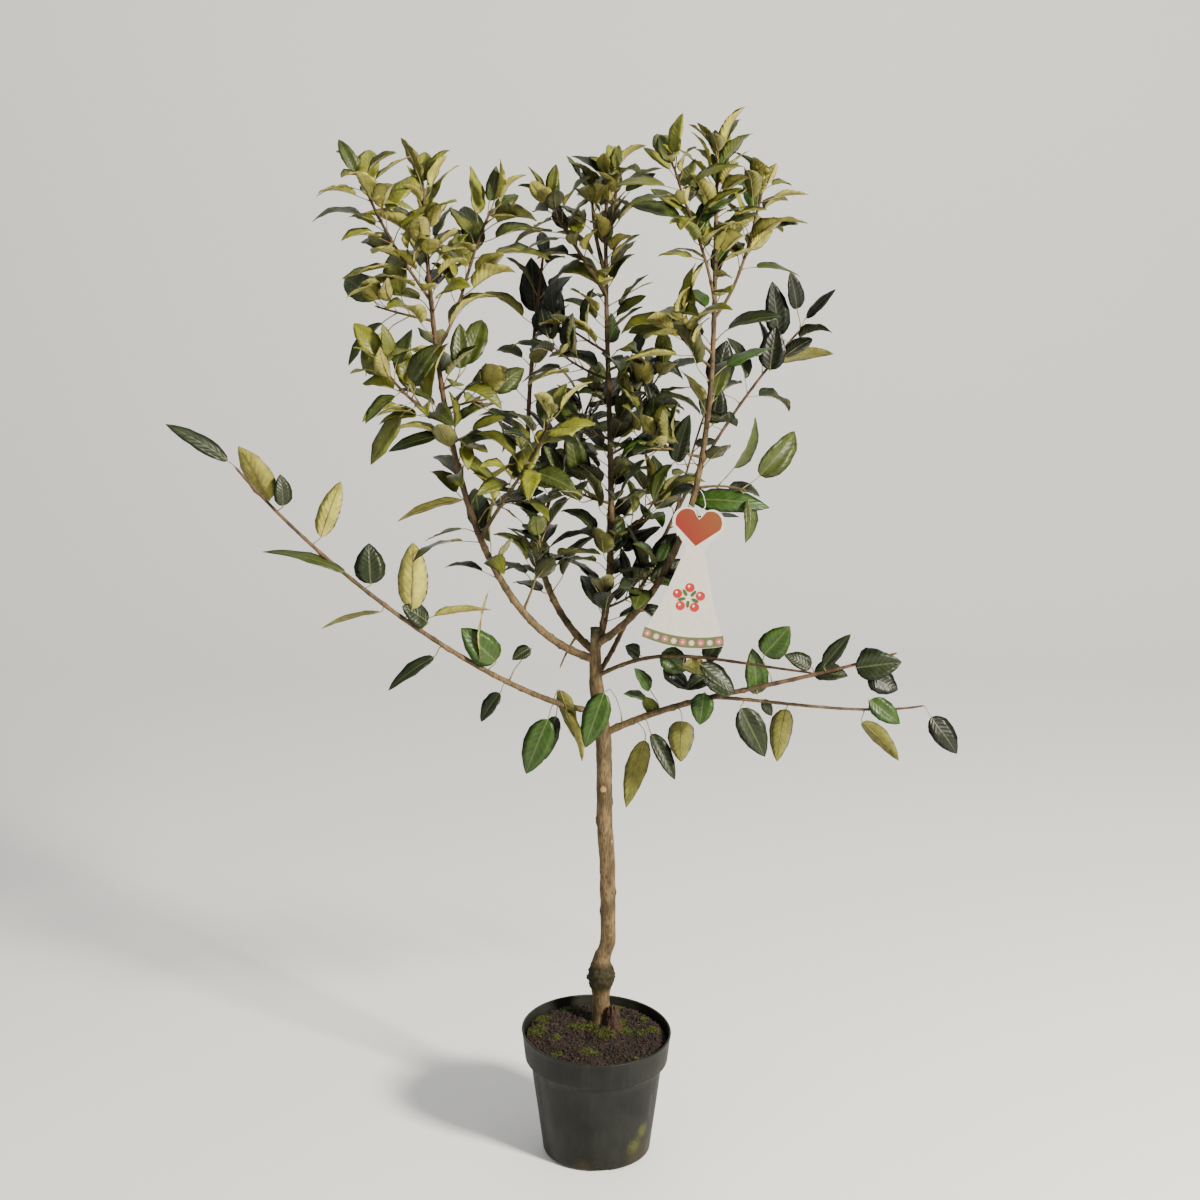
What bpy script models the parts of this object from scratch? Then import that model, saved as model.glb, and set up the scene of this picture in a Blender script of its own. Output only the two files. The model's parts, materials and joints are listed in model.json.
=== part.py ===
"""A young apple tree in a nursery pot, 1.6 m high, in metres with +Z up.

The origin is the centre of the pot's flat underside. X runs to the right and Y away from the
front. Headings are degrees from +X towards +Y, and a rise is degrees above the level.
"""

import math
import random

import bmesh
import bpy
from mathutils import Vector

GAP = 0.00035

POT_HEIGHT = 0.200
POT_RIM_RADIUS = 0.1158
POT_COLLAR_FOOT_RADIUS = 0.1105
POT_COLLAR_HEIGHT = 0.044
POT_STEP = 0.009
POT_BODY_TOP_RADIUS = 0.1015
POT_BASE_RADIUS = 0.0840
POT_BASE_ROUNDING = 0.0090
POT_WALL = 0.0022
POT_LIP = 0.0032
POT_SIDES = 36
POT_RIM_FALL_TO_FRONT = 0.075
POT_RIM_FALL_TO_RIGHT = 0.035

NOTCH_COUNT = 4
NOTCH_WIDTH = 0.032
NOTCH_HEIGHT = 0.0055
NOTCH_DEPTH = 0.020
NOTCH_HEADING = -83

SOIL_LEVEL = 0.187
SOIL_ROUGHNESS = 0.0016
SOIL_RINGS = 5

TRUNK_FOOT = (0.0075, 0.046, 0.1895)
TRUNK_TOP = (-0.002, 0.0, 0.838)
TRUNK_SOIL_RADIUS = 0.0135
TRUNK_RADIUS = 0.0122
TRUNK_TOP_RADIUS = 0.0072
TRUNK_FLARE = 0.0035
TRUNK_FLARE_HEIGHT = 0.012
TRUNK_SHOULDER = (0.690, 0.850)
TRUNK_SIDES = 12
TRUNK_RINGS = 30
GRAFT_HEIGHT = 0.272
GRAFT_SWELLING = 0.0085
GRAFT_LENGTH = 0.021
TRUNK_SHIFTS = ((0.290, 0.335, 0.0115), (0.440, 0.540, -0.0045), (0.640, 0.780, -0.0125))

OLD_STUB_PLACE = (0.026, 0.026)
OLD_STUB_HEIGHT = 0.036
OLD_STUB_RADIUS = 0.0115
OLD_STUB_WIDTHS = (1.25, 1.05, 0.85, 0.55)
OLD_STUB_SIDES = 9
OLD_STUB_ROUGHNESS = 0.14

LIMB_SIDES = 8
LIMB_STEP = 0.045
ROOT_SHARE = 0.70

MASS_SIDES = 8
MASS_STEP = 0.040
MASS_ROUGHNESS = 0.30
MASS_SWAY = 0.16
MASS_PULL = 0.45
MASS_BLUNTNESS = 0.7
MASS_GROW = 0.0007

# Each limb leaves its parent at a height on the trunk, or at a share of another limb's length, and
# runs to its tip; bare is the share of it that stands clear below its end mass of leaves.
LIMBS = {
    "leader": dict(parent="trunk", at=0.800, tip=(0.015, 0.002, 1.500), leave=(20, 67), arrive=(40, 88),
                   easing=(0.18, 0.42), radii=(0.0082, 0.0022), bare=0.93),
    "left_bough": dict(parent="trunk", at=0.790, tip=(-0.238, -0.098, 1.487), leave=(193, 18),
                       arrive=(110, 84), easing=(0.27, 0.42), radii=(0.0086, 0.0022), bare=0.86),
    "right_bough": dict(parent="trunk", at=0.812, tip=(0.170, -0.062, 1.535), leave=(331, 33),
                        arrive=(60, 84), easing=(0.37, 0.33), radii=(0.0086, 0.0020), bare=0.84),
    "back_left_bough": dict(parent="trunk", at=0.802, tip=(-0.078, 0.117, 1.389), leave=(145, 26),
                            arrive=(320, 80), easing=(0.30, 0.42), radii=(0.0065, 0.0018), bare=0.66),
    "back_right_shoot": dict(parent="trunk", at=0.762, tip=(0.313, 0.194, 1.264), leave=(40, 42),
                             arrive=(15, 46), easing=(0.20, 0.50), radii=(0.0040, 0.0016), bare=0.86),
    "lower_left_lateral": dict(parent="trunk", at=0.708, tip=(-0.505, -0.131, 1.100), leave=(198, 6),
                               arrive=(193, 52), easing=(0.18, 0.38), radii=(0.0048, 0.0018), bare=0.86),
    "lower_right_lateral": dict(parent="trunk", at=0.672, tip=(0.440, -0.060, 0.815), leave=(339, 29),
                                arrive=(358, 17), easing=(0.36, 0.50), radii=(0.0056, 0.0018), bare=0.80),
    "upper_right_lateral": dict(parent="trunk", at=0.762, tip=(0.308, -0.160, 0.810), leave=(335, 32),
                                arrive=(335, -1), easing=(0.35, 0.50), radii=(0.0034, 0.0015), bare=0.72),
    "back_right_lateral": dict(parent="lower_right_lateral", at=0.44, tip=(0.512, 0.130, 0.684),
                               leave=(40, -11), arrive=(24, 3), easing=(0.30, 0.30),
                               radii=(0.0032, 0.0016), bare=0.88),
    "left_outer_fork": dict(parent="left_bough", at=0.83, tip=(-0.316, -0.152, 1.500), leave=(208, 53),
                            arrive=(205, 75), easing=(0.35, 0.25), radii=(0.0036, 0.0018), bare=0.26),
    "left_inner_fork": dict(parent="left_bough", at=0.755, tip=(-0.146, -0.062, 1.452), leave=(21, 51),
                            arrive=(17, 59), easing=(0.30, 0.30), radii=(0.0036, 0.0018), bare=0.45),
    "left_side_shoot": dict(parent="left_bough", at=0.635, tip=(-0.286, -0.174, 1.238), leave=(216, 32),
                            arrive=(223, 51), easing=(0.30, 0.40), radii=(0.0030, 0.0016), bare=0.40),
    "front_left_shoot": dict(parent="left_bough", at=0.42, tip=(-0.062, -0.160, 1.172), leave=(316, 52),
                             arrive=(323, 61), easing=(0.40, 0.40), radii=(0.0030, 0.0016), bare=0.45),
    "back_left_shoot": dict(parent="back_left_bough", at=0.35, tip=(-0.007, 0.125, 1.167), leave=(63, 64),
                            arrive=(0, 67), easing=(0.40, 0.45), radii=(0.0032, 0.0016), bare=0.50),
    "right_inner_fork": dict(parent="right_bough", at=0.73, tip=(0.106, -0.128, 1.512), leave=(222, 78),
                             arrive=(222, 68), easing=(0.40, 0.40), radii=(0.0034, 0.0016), bare=0.50),
    "right_outer_fork": dict(parent="right_bough", at=0.705, tip=(0.235, -0.030, 1.482), leave=(23, 45),
                             arrive=(25, 75), easing=(0.30, 0.30), radii=(0.0036, 0.0018), bare=0.55),
}

# Each mass of leaves starts on a limb at a share of its length and runs to its furthest leaf tip;
# girth is its half width at the fullest point, and full is where along it that point lies.
MASSES = {
    "leaves_left_crown": dict(limb="left_bough", at=0.84, tip=(-0.218, -0.100, 1.545),
                              leave=(175, 88), girth=0.040, full=0.62),
    "leaves_left_outer_crown": dict(limb="left_outer_fork", at=0.22, tip=(-0.352, -0.155, 1.522),
                                    leave=(200, 60), girth=0.042, full=0.55),
    "leaves_left_outer_low": dict(limb="left_bough", at=0.8, tip=(-0.345, -0.110, 1.335),
                                  leave=(185, 12), girth=0.026, full=0.60),
    "leaves_left_inner_crown": dict(limb="left_inner_fork", at=0.42, tip=(-0.128, -0.060, 1.538),
                                    leave=(20, 65), girth=0.036, full=0.60),
    "leaves_left_side": dict(limb="left_side_shoot", at=0.36, tip=(-0.375, -0.190, 1.262),
                             leave=(220, 45), girth=0.042, full=0.45),
    "leaves_left_spur": dict(limb="left_bough", at=0.66, tip=(-0.122, -0.080, 1.190),
                             leave=(10, 20), girth=0.026, full=0.55),
    "leaves_front_left": dict(limb="front_left_shoot", at=0.42, tip=(-0.045, -0.160, 1.218),
                              leave=(320, 60), girth=0.048, full=0.55),
    "leaves_inner_left": dict(limb="left_bough", at=0.23, tip=(-0.085, 0.005, 1.035),
                              leave=(30, 60), girth=0.034, full=0.50),
    "leaves_back_left_crown": dict(limb="back_left_bough", at=0.64, tip=(-0.090, 0.120, 1.398),
                                   leave=(60, 85), girth=0.034, full=0.70),
    "leaves_back_left_low": dict(limb="back_left_shoot", at=0.46, tip=(0.010, 0.125, 1.185),
                                 leave=(40, 60), girth=0.044, full=0.60),
    "leaves_centre_low": dict(limb="leader", at=0.16, tip=(0.100, -0.035, 0.985),
                              leave=(340, 20), girth=0.032, full=0.62),
    "leaves_centre_mid_right": dict(limb="leader", at=0.34, tip=(0.108, -0.015, 1.105),
                                    leave=(350, 25), girth=0.032, full=0.62),
    "leaves_centre_mid_left": dict(limb="leader", at=0.42, tip=(-0.070, -0.030, 1.100),
                                   leave=(190, 10), girth=0.030, full=0.55),
    "leaves_centre_high_right": dict(limb="leader", at=0.58, tip=(0.115, 0.000, 1.262),
                                     leave=(350, 30), girth=0.034, full=0.60),
    "leaves_centre_high_left": dict(limb="leader", at=0.66, tip=(-0.100, -0.020, 1.300),
                                    leave=(185, 20), girth=0.032, full=0.60),
    "leaves_centre_crown": dict(limb="leader", at=0.78, tip=(0.006, 0.000, 1.557),
                                leave=(20, 88), girth=0.042, full=0.55),
    "leaves_centre_left_crown": dict(limb="leader", at=0.75, tip=(-0.070, -0.012, 1.546),
                                     leave=(185, 50), girth=0.034, full=0.65),
    "leaves_right_bough_low": dict(limb="right_bough", at=0.4, tip=(0.250, -0.080, 1.045),
                                   leave=(10, 10), girth=0.020, full=0.60),
    "leaves_right_bough_inner": dict(limb="right_bough", at=0.46, tip=(0.055, -0.090, 1.150),
                                     leave=(190, 10), girth=0.036, full=0.55),
    "leaves_right_mid_inner": dict(limb="right_bough", at=0.62, tip=(0.095, -0.095, 1.330),
                                   leave=(195, 35), girth=0.032, full=0.55),
    "leaves_right_crown": dict(limb="right_bough", at=0.82, tip=(0.186, -0.060, 1.600),
                               leave=(45, 88), girth=0.036, full=0.60),
    "leaves_right_inner_crown": dict(limb="right_inner_fork", at=0.48, tip=(0.068, -0.135, 1.545),
                                     leave=(215, 60), girth=0.040, full=0.60),
    "leaves_right_outer_crown": dict(limb="right_outer_fork", at=0.52, tip=(0.306, -0.030, 1.535),
                                     leave=(35, 66), girth=0.040, full=0.55),
    "leaves_back_right": dict(limb="back_right_shoot", at=0.81, tip=(0.368, 0.200, 1.325),
                              leave=(20, 50), girth=0.040, full=0.42),
    "leaves_back_right_low": dict(limb="back_right_shoot", at=0.56, tip=(0.200, 0.120, 1.250),
                                  leave=(20, 75), girth=0.034, full=0.60),
    "leaves_lower_left_tip": dict(limb="lower_left_lateral", at=0.83, tip=(-0.600, -0.140, 1.162),
                                  leave=(190, 60), girth=0.032, full=0.40),
    "leaves_lower_left_outer": dict(limb="lower_left_lateral", at=0.70, tip=(-0.385, -0.130, 1.075),
                                    leave=(170, 60), girth=0.022, full=0.55),
    "leaves_lower_left_mid": dict(limb="lower_left_lateral", at=0.47, tip=(-0.270, -0.075, 0.985),
                                  leave=(185, 60), girth=0.032, full=0.55),
    "leaves_lower_left_inner": dict(limb="lower_left_lateral", at=0.26, tip=(-0.170, -0.060, 0.905),
                                    leave=(20, 65), girth=0.026, full=0.50),
    "leaves_trunk_left": dict(limb="lower_left_lateral", at=0.06, tip=(-0.108, -0.040, 0.625),
                              leave=(200, -25), girth=0.030, full=0.55),
    "leaves_trunk_right": dict(limb="lower_right_lateral", at=0.20, tip=(0.044, -0.050, 0.575),
                               leave=(330, -50), girth=0.030, full=0.50),
    "leaves_lower_right_rise": dict(limb="lower_right_lateral", at=0.52, tip=(0.285, -0.080, 0.865),
                                    leave=(20, 60), girth=0.028, full=0.55),
    "leaves_lower_right_tip": dict(limb="lower_right_lateral", at=0.74, tip=(0.448, -0.070, 0.775),
                                   leave=(358, 16), girth=0.030, full=0.55),
    "leaves_back_lateral_hang": dict(limb="back_right_lateral", at=0.22, tip=(0.275, 0.000, 0.615),
                                     leave=(340, -40), girth=0.026, full=0.60),
    "leaves_back_lateral_tip": dict(limb="back_right_lateral", at=0.84, tip=(0.576, 0.130, 0.610),
                                    leave=(20, 5), girth=0.026, full=0.50),
    "leaves_front_lateral_tip": dict(limb="upper_right_lateral", at=0.68, tip=(0.352, -0.165, 0.850),
                                     leave=(335, 10), girth=0.024, full=0.50),
    "leaves_front_lateral_low": dict(limb="upper_right_lateral", at=0.24, tip=(0.160, -0.085, 0.765),
                                     leave=(330, -10), girth=0.024, full=0.55),
}

LABEL_TOP = (0.1490, -0.0910, 1.0350)
LABEL_LEAN = 7
LABEL_THICKNESS = 0.0008
HEART_RADIUS = 0.0205
HEART_HEIGHT = 0.075
CARD_NECK_WIDTH = 0.036
CARD_FOOT_WIDTH = 0.124
CARD_HEIGHT = 0.206
CARD_FOOT_SAG = 0.010
LABEL_HOLE_RADIUS = 0.0026
LABEL_HOLE_DROP = 0.0125
TIE_RADIUS = 0.0007
TIE_RISE = 0.036
TIE_WIDTH = 1.7
TIE_BEND = 0.006
TIE_SIDES = 6
TIE_TURNS = 28


def clear_scene():
    for item in list(bpy.data.objects):
        bpy.data.objects.remove(item, do_unlink=True)


def material(name, colour, roughness):
    made = bpy.data.materials.new(name)
    made.use_nodes = True
    shader = made.node_tree.nodes["Principled BSDF"]
    shader.inputs["Base Color"].default_value = (*colour, 1)
    shader.inputs["Roughness"].default_value = roughness
    shader.inputs["Metallic"].default_value = 0.0
    return made


def heading_vector(heading, rise):
    turn, up = math.radians(heading), math.radians(rise)
    return Vector((math.cos(up) * math.cos(turn), math.cos(up) * math.sin(turn), math.sin(up)))


def smooth_share(low, high, value):
    share = min(max((value - low) / (high - low), 0), 1)
    return share * share * (3 - 2 * share)


def object_from(name, points, faces, finish=None):
    mesh = bpy.data.meshes.new(name)
    mesh.from_pydata([tuple(p) for p in points], [], faces)
    outward = bmesh.new()
    outward.from_mesh(mesh)
    bmesh.ops.recalc_face_normals(outward, faces=outward.faces)
    outward.to_mesh(mesh)
    outward.free()
    made = bpy.data.objects.new(name, mesh)
    bpy.context.scene.collection.objects.link(made)
    if finish:
        mesh.materials.append(finish)
    return made


def shade_round(piece):
    piece.data.shade_smooth()
    piece.data.set_sharp_from_angle(angle=math.radians(50))


def bridge_rings(count, sides):
    """Side faces between rings of equal size, numbered ring after ring."""
    faces = []
    for ring in range(count - 1):
        for side in range(sides):
            here, beside = ring * sides + side, ring * sides + (side + 1) % sides
            faces.append((here, beside, beside + sides, here + sides))
    return faces


def cutter(piece):
    piece.hide_render = True
    piece.display_type = "WIRE"
    piece.hide_set(True)
    return piece


def cut(piece, tool):
    taken = piece.modifiers.new("cut_" + tool.name, "BOOLEAN")
    taken.operation = "DIFFERENCE"
    taken.solver = "EXACT"
    taken.object = tool


def boxes_meet(first, second, margin=0.002):
    lows, highs = [], []
    for item in (first, second):
        corners = [v.co for v in item.data.vertices]
        lows.append([min(c[i] for c in corners) - margin for i in range(3)])
        highs.append([max(c[i] for c in corners) + margin for i in range(3)])
    return all(lows[0][i] <= highs[1][i] and lows[1][i] <= highs[0][i] for i in range(3))


def pot_tilt(point):
    """The soft pot's rim sinks a little to the front and to the right; its underside is level."""
    x, y, z = point
    share = max(z, 0) / POT_HEIGHT
    return (x, y, z + share ** 1.5 * (POT_RIM_FALL_TO_FRONT * y - POT_RIM_FALL_TO_RIGHT * x))


def pot_outer_radius(z):
    """Outside of the pot's body below the collar."""
    share = z / (POT_HEIGHT - POT_COLLAR_HEIGHT)
    return POT_BASE_RADIUS + (POT_BODY_TOP_RADIUS - POT_BASE_RADIUS) * share


def pot_profile():
    """Radius and height from the middle of the underside, up the outside and down the inside."""
    collar_foot = POT_HEIGHT - POT_COLLAR_HEIGHT
    points = []
    for step in range(4):
        turn = math.radians(90 * step / 3)
        points.append((POT_BASE_RADIUS - POT_BASE_ROUNDING * (1 - math.sin(turn)),
                       POT_BASE_ROUNDING * (1 - math.cos(turn))))
    points.append((POT_BODY_TOP_RADIUS, collar_foot - POT_STEP))
    points.append((POT_COLLAR_FOOT_RADIUS, collar_foot))
    points.append((POT_RIM_RADIUS - 0.0006, POT_HEIGHT - 0.004))
    points.append((POT_RIM_RADIUS, POT_HEIGHT - 0.0012))
    points.append((POT_RIM_RADIUS - 0.0010, POT_HEIGHT))
    points.append((POT_RIM_RADIUS - POT_LIP, POT_HEIGHT))
    points.append((POT_COLLAR_FOOT_RADIUS - POT_WALL, collar_foot))
    points.append((POT_BODY_TOP_RADIUS - POT_WALL, collar_foot - POT_STEP))
    points.append((POT_BASE_RADIUS - POT_WALL, POT_BASE_ROUNDING))
    points.append((POT_BASE_RADIUS - POT_BASE_ROUNDING, POT_WALL))
    return points


def turned(name, profile, bottom, top, sides, finish):
    """A turned solid: rings of the profile between a middle point below and one above."""
    points = [pot_tilt((0, 0, bottom))]
    for radius, height in profile:
        for side in range(sides):
            turn = math.tau * side / sides
            points.append(pot_tilt((radius * math.cos(turn), radius * math.sin(turn), height)))
    points.append(pot_tilt((0, 0, top)))
    faces = [tuple(i + 1 for i in face) for face in bridge_rings(len(profile), sides)]
    last = len(points) - 1
    for side in range(sides):
        beside = (side + 1) % sides
        faces.append((0, beside + 1, side + 1))
        faces.append((last, last - sides + side, last - sides + beside))
    return object_from(name, points, faces, finish)


def pot(finish):
    piece = turned("pot", pot_profile(), 0.0, POT_WALL, POT_SIDES, finish)
    for number in range(NOTCH_COUNT):
        heading = math.radians(NOTCH_HEADING + 360 * number / NOTCH_COUNT)
        along = Vector((math.cos(heading), math.sin(heading), 0))
        across = Vector((-along.y, along.x, 0))
        points = []
        for height, width in ((-0.004, NOTCH_WIDTH * 1.2), (NOTCH_HEIGHT, NOTCH_WIDTH * 0.8)):
            for out, side in ((0, -1), (1, -1), (1, 1), (0, 1)):
                reach = POT_BASE_RADIUS - NOTCH_DEPTH + out * NOTCH_DEPTH * 2
                points.append(along * reach + across * side * width / 2 + Vector((0, 0, height)))
        faces = [(3, 2, 1, 0), (4, 5, 6, 7), (0, 1, 5, 4), (1, 2, 6, 5), (2, 3, 7, 6), (3, 0, 4, 7)]
        cut(piece, cutter(object_from("notch_%d" % number, points, faces)))
    shade_round(piece)


def soil(finish):
    """Compost that fills the pot to its own uneven level."""
    inside = [(POT_BASE_RADIUS - POT_BASE_ROUNDING - GAP * 2, POT_WALL + GAP * 2),
              (POT_BASE_RADIUS - POT_WALL - GAP * 2, POT_BASE_ROUNDING + GAP),
              (POT_BODY_TOP_RADIUS - POT_WALL - GAP * 2, POT_HEIGHT - POT_COLLAR_HEIGHT - POT_STEP),
              (POT_COLLAR_FOOT_RADIUS - POT_WALL - GAP * 4, POT_HEIGHT - POT_COLLAR_HEIGHT + GAP)]
    edge = POT_COLLAR_FOOT_RADIUS - POT_WALL - GAP * 2
    inside.append((edge, SOIL_LEVEL - 0.003))
    for ring in range(1, SOIL_RINGS):
        inside.append((edge * (1 - ring / SOIL_RINGS), SOIL_LEVEL))
    piece = turned("soil", inside, POT_WALL + GAP * 2, SOIL_LEVEL, POT_SIDES, finish)
    dice = random.Random(3)
    for vertex in piece.data.vertices:
        if vertex.co.z > SOIL_LEVEL - 0.012 and math.hypot(vertex.co.x, vertex.co.y) < edge - 0.005:
            vertex.co.z += dice.uniform(-1, 1) * SOIL_ROUGHNESS
    shade_round(piece)
    return piece


def trunk_axis(height):
    """Middle of the trunk at a height: an even lean, with the bends of the graft and the crown."""
    share = (height - TRUNK_FOOT[2]) / (TRUNK_TOP[2] - TRUNK_FOOT[2])
    shifts = sum(by * smooth_share(low, high, height) for low, high, by in TRUNK_SHIFTS)
    spare = TRUNK_TOP[0] - TRUNK_FOOT[0] - sum(by for low, high, by in TRUNK_SHIFTS)
    x = TRUNK_FOOT[0] + shifts + spare * share
    y = TRUNK_FOOT[1] + (TRUNK_TOP[1] - TRUNK_FOOT[1]) * share
    return Vector((x, y, height))


def trunk_radius(height):
    """Half thickness: a flare at the soil, the graft's swelling and the taper under the crown."""
    above = height - TRUNK_FOOT[2]
    even = TRUNK_SOIL_RADIUS + (TRUNK_RADIUS - TRUNK_SOIL_RADIUS) * smooth_share(0.20, 0.34, height)
    even += (TRUNK_TOP_RADIUS - TRUNK_RADIUS) * smooth_share(*TRUNK_SHOULDER, height)
    flare = TRUNK_FLARE * math.exp(-above / TRUNK_FLARE_HEIGHT)
    graft = GRAFT_SWELLING * math.exp(-((height - GRAFT_HEIGHT) / GRAFT_LENGTH) ** 2)
    return even + flare + graft


def trunk_rings(grow):
    rings = []
    for number in range(TRUNK_RINGS):
        height = TRUNK_FOOT[2] + (TRUNK_TOP[2] - TRUNK_FOOT[2]) * number / (TRUNK_RINGS - 1)
        radius = trunk_radius(height) + grow
        middle = trunk_axis(height)
        if grow and number in (0, TRUNK_RINGS - 1):
            middle.z += grow if number else -grow
        ring = []
        for side in range(TRUNK_SIDES):
            turn = math.tau * side / TRUNK_SIDES
            ring.append(middle + radius * Vector((math.cos(turn), math.sin(turn), 0)))
        rings.append(ring)
    return rings


def lofted(name, rings, finish=None):
    """A solid through rings of points, closed by a flat cap at each end."""
    sides = len(rings[0])
    points = [p for ring in rings for p in ring]
    faces = bridge_rings(len(rings), sides)
    faces.append(tuple(reversed(range(sides))))
    faces.append(tuple(len(points) - sides + i for i in range(sides)))
    return object_from(name, points, faces, finish)


def old_stub(finish, stem_room):
    """The short dead stump of the rootstock, in front of the trunk's foot."""
    dice = random.Random(11)
    rings = []
    low = TRUNK_FOOT[2]
    for number, width in enumerate(OLD_STUB_WIDTHS):
        middle = Vector((*OLD_STUB_PLACE, low + OLD_STUB_HEIGHT * number / (len(OLD_STUB_WIDTHS) - 1)))
        ring = []
        for side in range(OLD_STUB_SIDES):
            turn = math.tau * side / OLD_STUB_SIDES
            radius = OLD_STUB_RADIUS * width * (1 + dice.uniform(-1, 1) * OLD_STUB_ROUGHNESS)
            ring.append(middle + radius * Vector((math.cos(turn), math.sin(turn), 0)))
        rings.append(ring)
    piece = lofted("old_stub", rings, finish)
    cut(piece, stem_room)
    shade_round(piece)
    return rings


def stub_room(rings):
    """The hollow that the stump leaves in the soil, a gap wider and deeper than its foot."""
    foot = rings[0]
    middle = sum(foot, Vector()) / len(foot)
    low = [p + (p - middle).normalized() * GAP * 2 - Vector((0, 0, GAP)) for p in foot]
    return cutter(lofted("stub_room", [low, [p + Vector((0, 0, OLD_STUB_HEIGHT)) for p in low]]))


def curve_point(ends, share):
    """A point on the smooth curve between two ends that leaves and arrives in given directions."""
    start, leaving, arriving, tip = ends
    rest = 1 - share
    return (start * rest ** 3 + leaving * 3 * rest ** 2 * share
            + arriving * 3 * rest * share ** 2 + tip * share ** 3)


def curve_ends(start, tip, leave, arrive, easing):
    tip = Vector(tip)
    span = (tip - start).length
    leaving = start + heading_vector(*leave) * span * easing[0]
    return start, leaving, tip - heading_vector(*arrive) * span * easing[1], tip


def limb_ends(name):
    spec = LIMBS[name]
    start = trunk_axis(spec["at"]) if spec["parent"] == "trunk" else limb_point(spec["parent"], spec["at"])
    return curve_ends(start, spec["tip"], spec["leave"], spec["arrive"], spec["easing"])


def limb_point(name, share):
    return curve_point(limb_ends(name), share)


def limb_radius(name, share):
    foot, end = LIMBS[name]["radii"]
    return end + (foot - end) * (1 - share) ** 0.8


def parent_radius(name):
    spec = LIMBS[name]
    if spec["parent"] == "trunk":
        return trunk_radius(spec["at"])
    return limb_radius(spec["parent"], spec["at"])


def swept_rings(middles, radii, sides, turn_of=None):
    """Rings square to a path, carried along it without twist."""
    rings = []
    across = Vector((0, 1, 0))
    for number, middle in enumerate(middles):
        before, after = middles[max(number - 1, 0)], middles[min(number + 1, len(middles) - 1)]
        along = (after - before).normalized()
        across = (across - along * across.dot(along)).normalized()
        beside = along.cross(across)
        ring = []
        for side in range(sides):
            turn = math.tau * side / sides
            radius = radii[number] if turn_of is None else radii[number] * turn_of(number, side)
            ring.append(middle + radius * (across * math.cos(turn) + beside * math.sin(turn)))
        rings.append(ring)
    return rings


def limb(name, finish, grow=0.0):
    """One tapering limb, from inside its parent to where its end mass of leaves begins."""
    ends = limb_ends(name)
    bare = LIMBS[name]["bare"]
    count = max(5, round((ends[3] - ends[0]).length * bare / LIMB_STEP))
    shares = [bare * i / count for i in range(count + 1)]
    middles = [curve_point(ends, s) for s in shares]
    if grow:
        middles[-1] = middles[-1] + (middles[-1] - middles[-2]).normalized() * grow
    radii = [limb_radius(name, s) + grow for s in shares]
    radii[0] = min(radii[0], ROOT_SHARE * parent_radius(name)) + grow
    return lofted(name + ("_room" if grow else ""), swept_rings(middles, radii, LIMB_SIDES), finish)


def mass(name, finish, number, grow=0.0):
    """One uneven mass of leaves, fullest part way along, between two pointed ends."""
    spec = MASSES[name]
    start = limb_point(spec["limb"], spec["at"])
    span = (Vector(spec["tip"]) - start).length
    pull = start + heading_vector(*spec["leave"]) * span * MASS_PULL
    ends = (start, pull, pull.lerp(Vector(spec["tip"]), 0.5), Vector(spec["tip"]))
    count = max(6, round(span / MASS_STEP))
    dice = random.Random(100 + number)
    shares = [i / count for i in range(1, count)]
    sway = [Vector([dice.uniform(-1, 1) * MASS_SWAY * spec["girth"] for axis in range(3)]) for s in shares]
    middles = [curve_point(ends, s) + swaying for s, swaying in zip(shares, sway)]
    lumps = [[1 + dice.uniform(-1, 0.8) * MASS_ROUGHNESS for side in range(MASS_SIDES)] for s in shares]
    radii = []
    for share in shares:
        near = share / spec["full"] if share < spec["full"] else (1 - share) / (1 - spec["full"])
        radii.append(spec["girth"] * math.sin(near * math.pi / 2) ** MASS_BLUNTNESS + grow)
    rings = swept_rings(middles, radii, MASS_SIDES, lambda ring, side: lumps[ring][side])
    along = (middles[0] - ends[0]).normalized() * grow
    onward = (ends[3] - middles[-1]).normalized() * grow
    points = [ends[0] - along] + [p for ring in rings for p in ring] + [ends[3] + onward]
    faces = [tuple(i + 1 for i in face) for face in bridge_rings(len(rings), MASS_SIDES)]
    last = len(points) - 1
    for side in range(MASS_SIDES):
        beside = (side + 1) % MASS_SIDES
        faces.append((0, beside + 1, side + 1))
        faces.append((last, last - MASS_SIDES + side, last - MASS_SIDES + beside))
    return object_from(name + ("_room" if grow else ""), points, faces, finish)


def label_frame():
    """The label hangs from its top point; x runs across it and z up it, leaning a little."""
    lean = math.radians(LABEL_LEAN)
    return Vector(LABEL_TOP), Vector((math.cos(lean), 0, -math.sin(lean))), \
        Vector((math.sin(lean), 0, math.cos(lean)))


def label_outline():
    """Right half of the label from the notch of the heart to the middle of the card's foot."""
    points = [(0.0, -0.0075)]
    for step in range(7):
        turn = math.radians(128 - 158 * step / 6)
        points.append((HEART_RADIUS * (1 + math.cos(turn)) * 0.92,
                       -HEART_RADIUS + HEART_RADIUS * math.sin(turn)))
    points.append((CARD_NECK_WIDTH * 0.36, -HEART_HEIGHT * 0.80))
    points.append((CARD_NECK_WIDTH * 0.50, -HEART_HEIGHT))
    foot = CARD_FOOT_WIDTH / 2
    points.append((foot * 0.62, -CARD_HEIGHT * 0.70))
    points.append((foot, -CARD_HEIGHT + CARD_FOOT_SAG))
    points.append((foot * 0.5, -CARD_HEIGHT + CARD_FOOT_SAG * 0.25))
    points.append((0.0, -CARD_HEIGHT))
    return points


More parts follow.
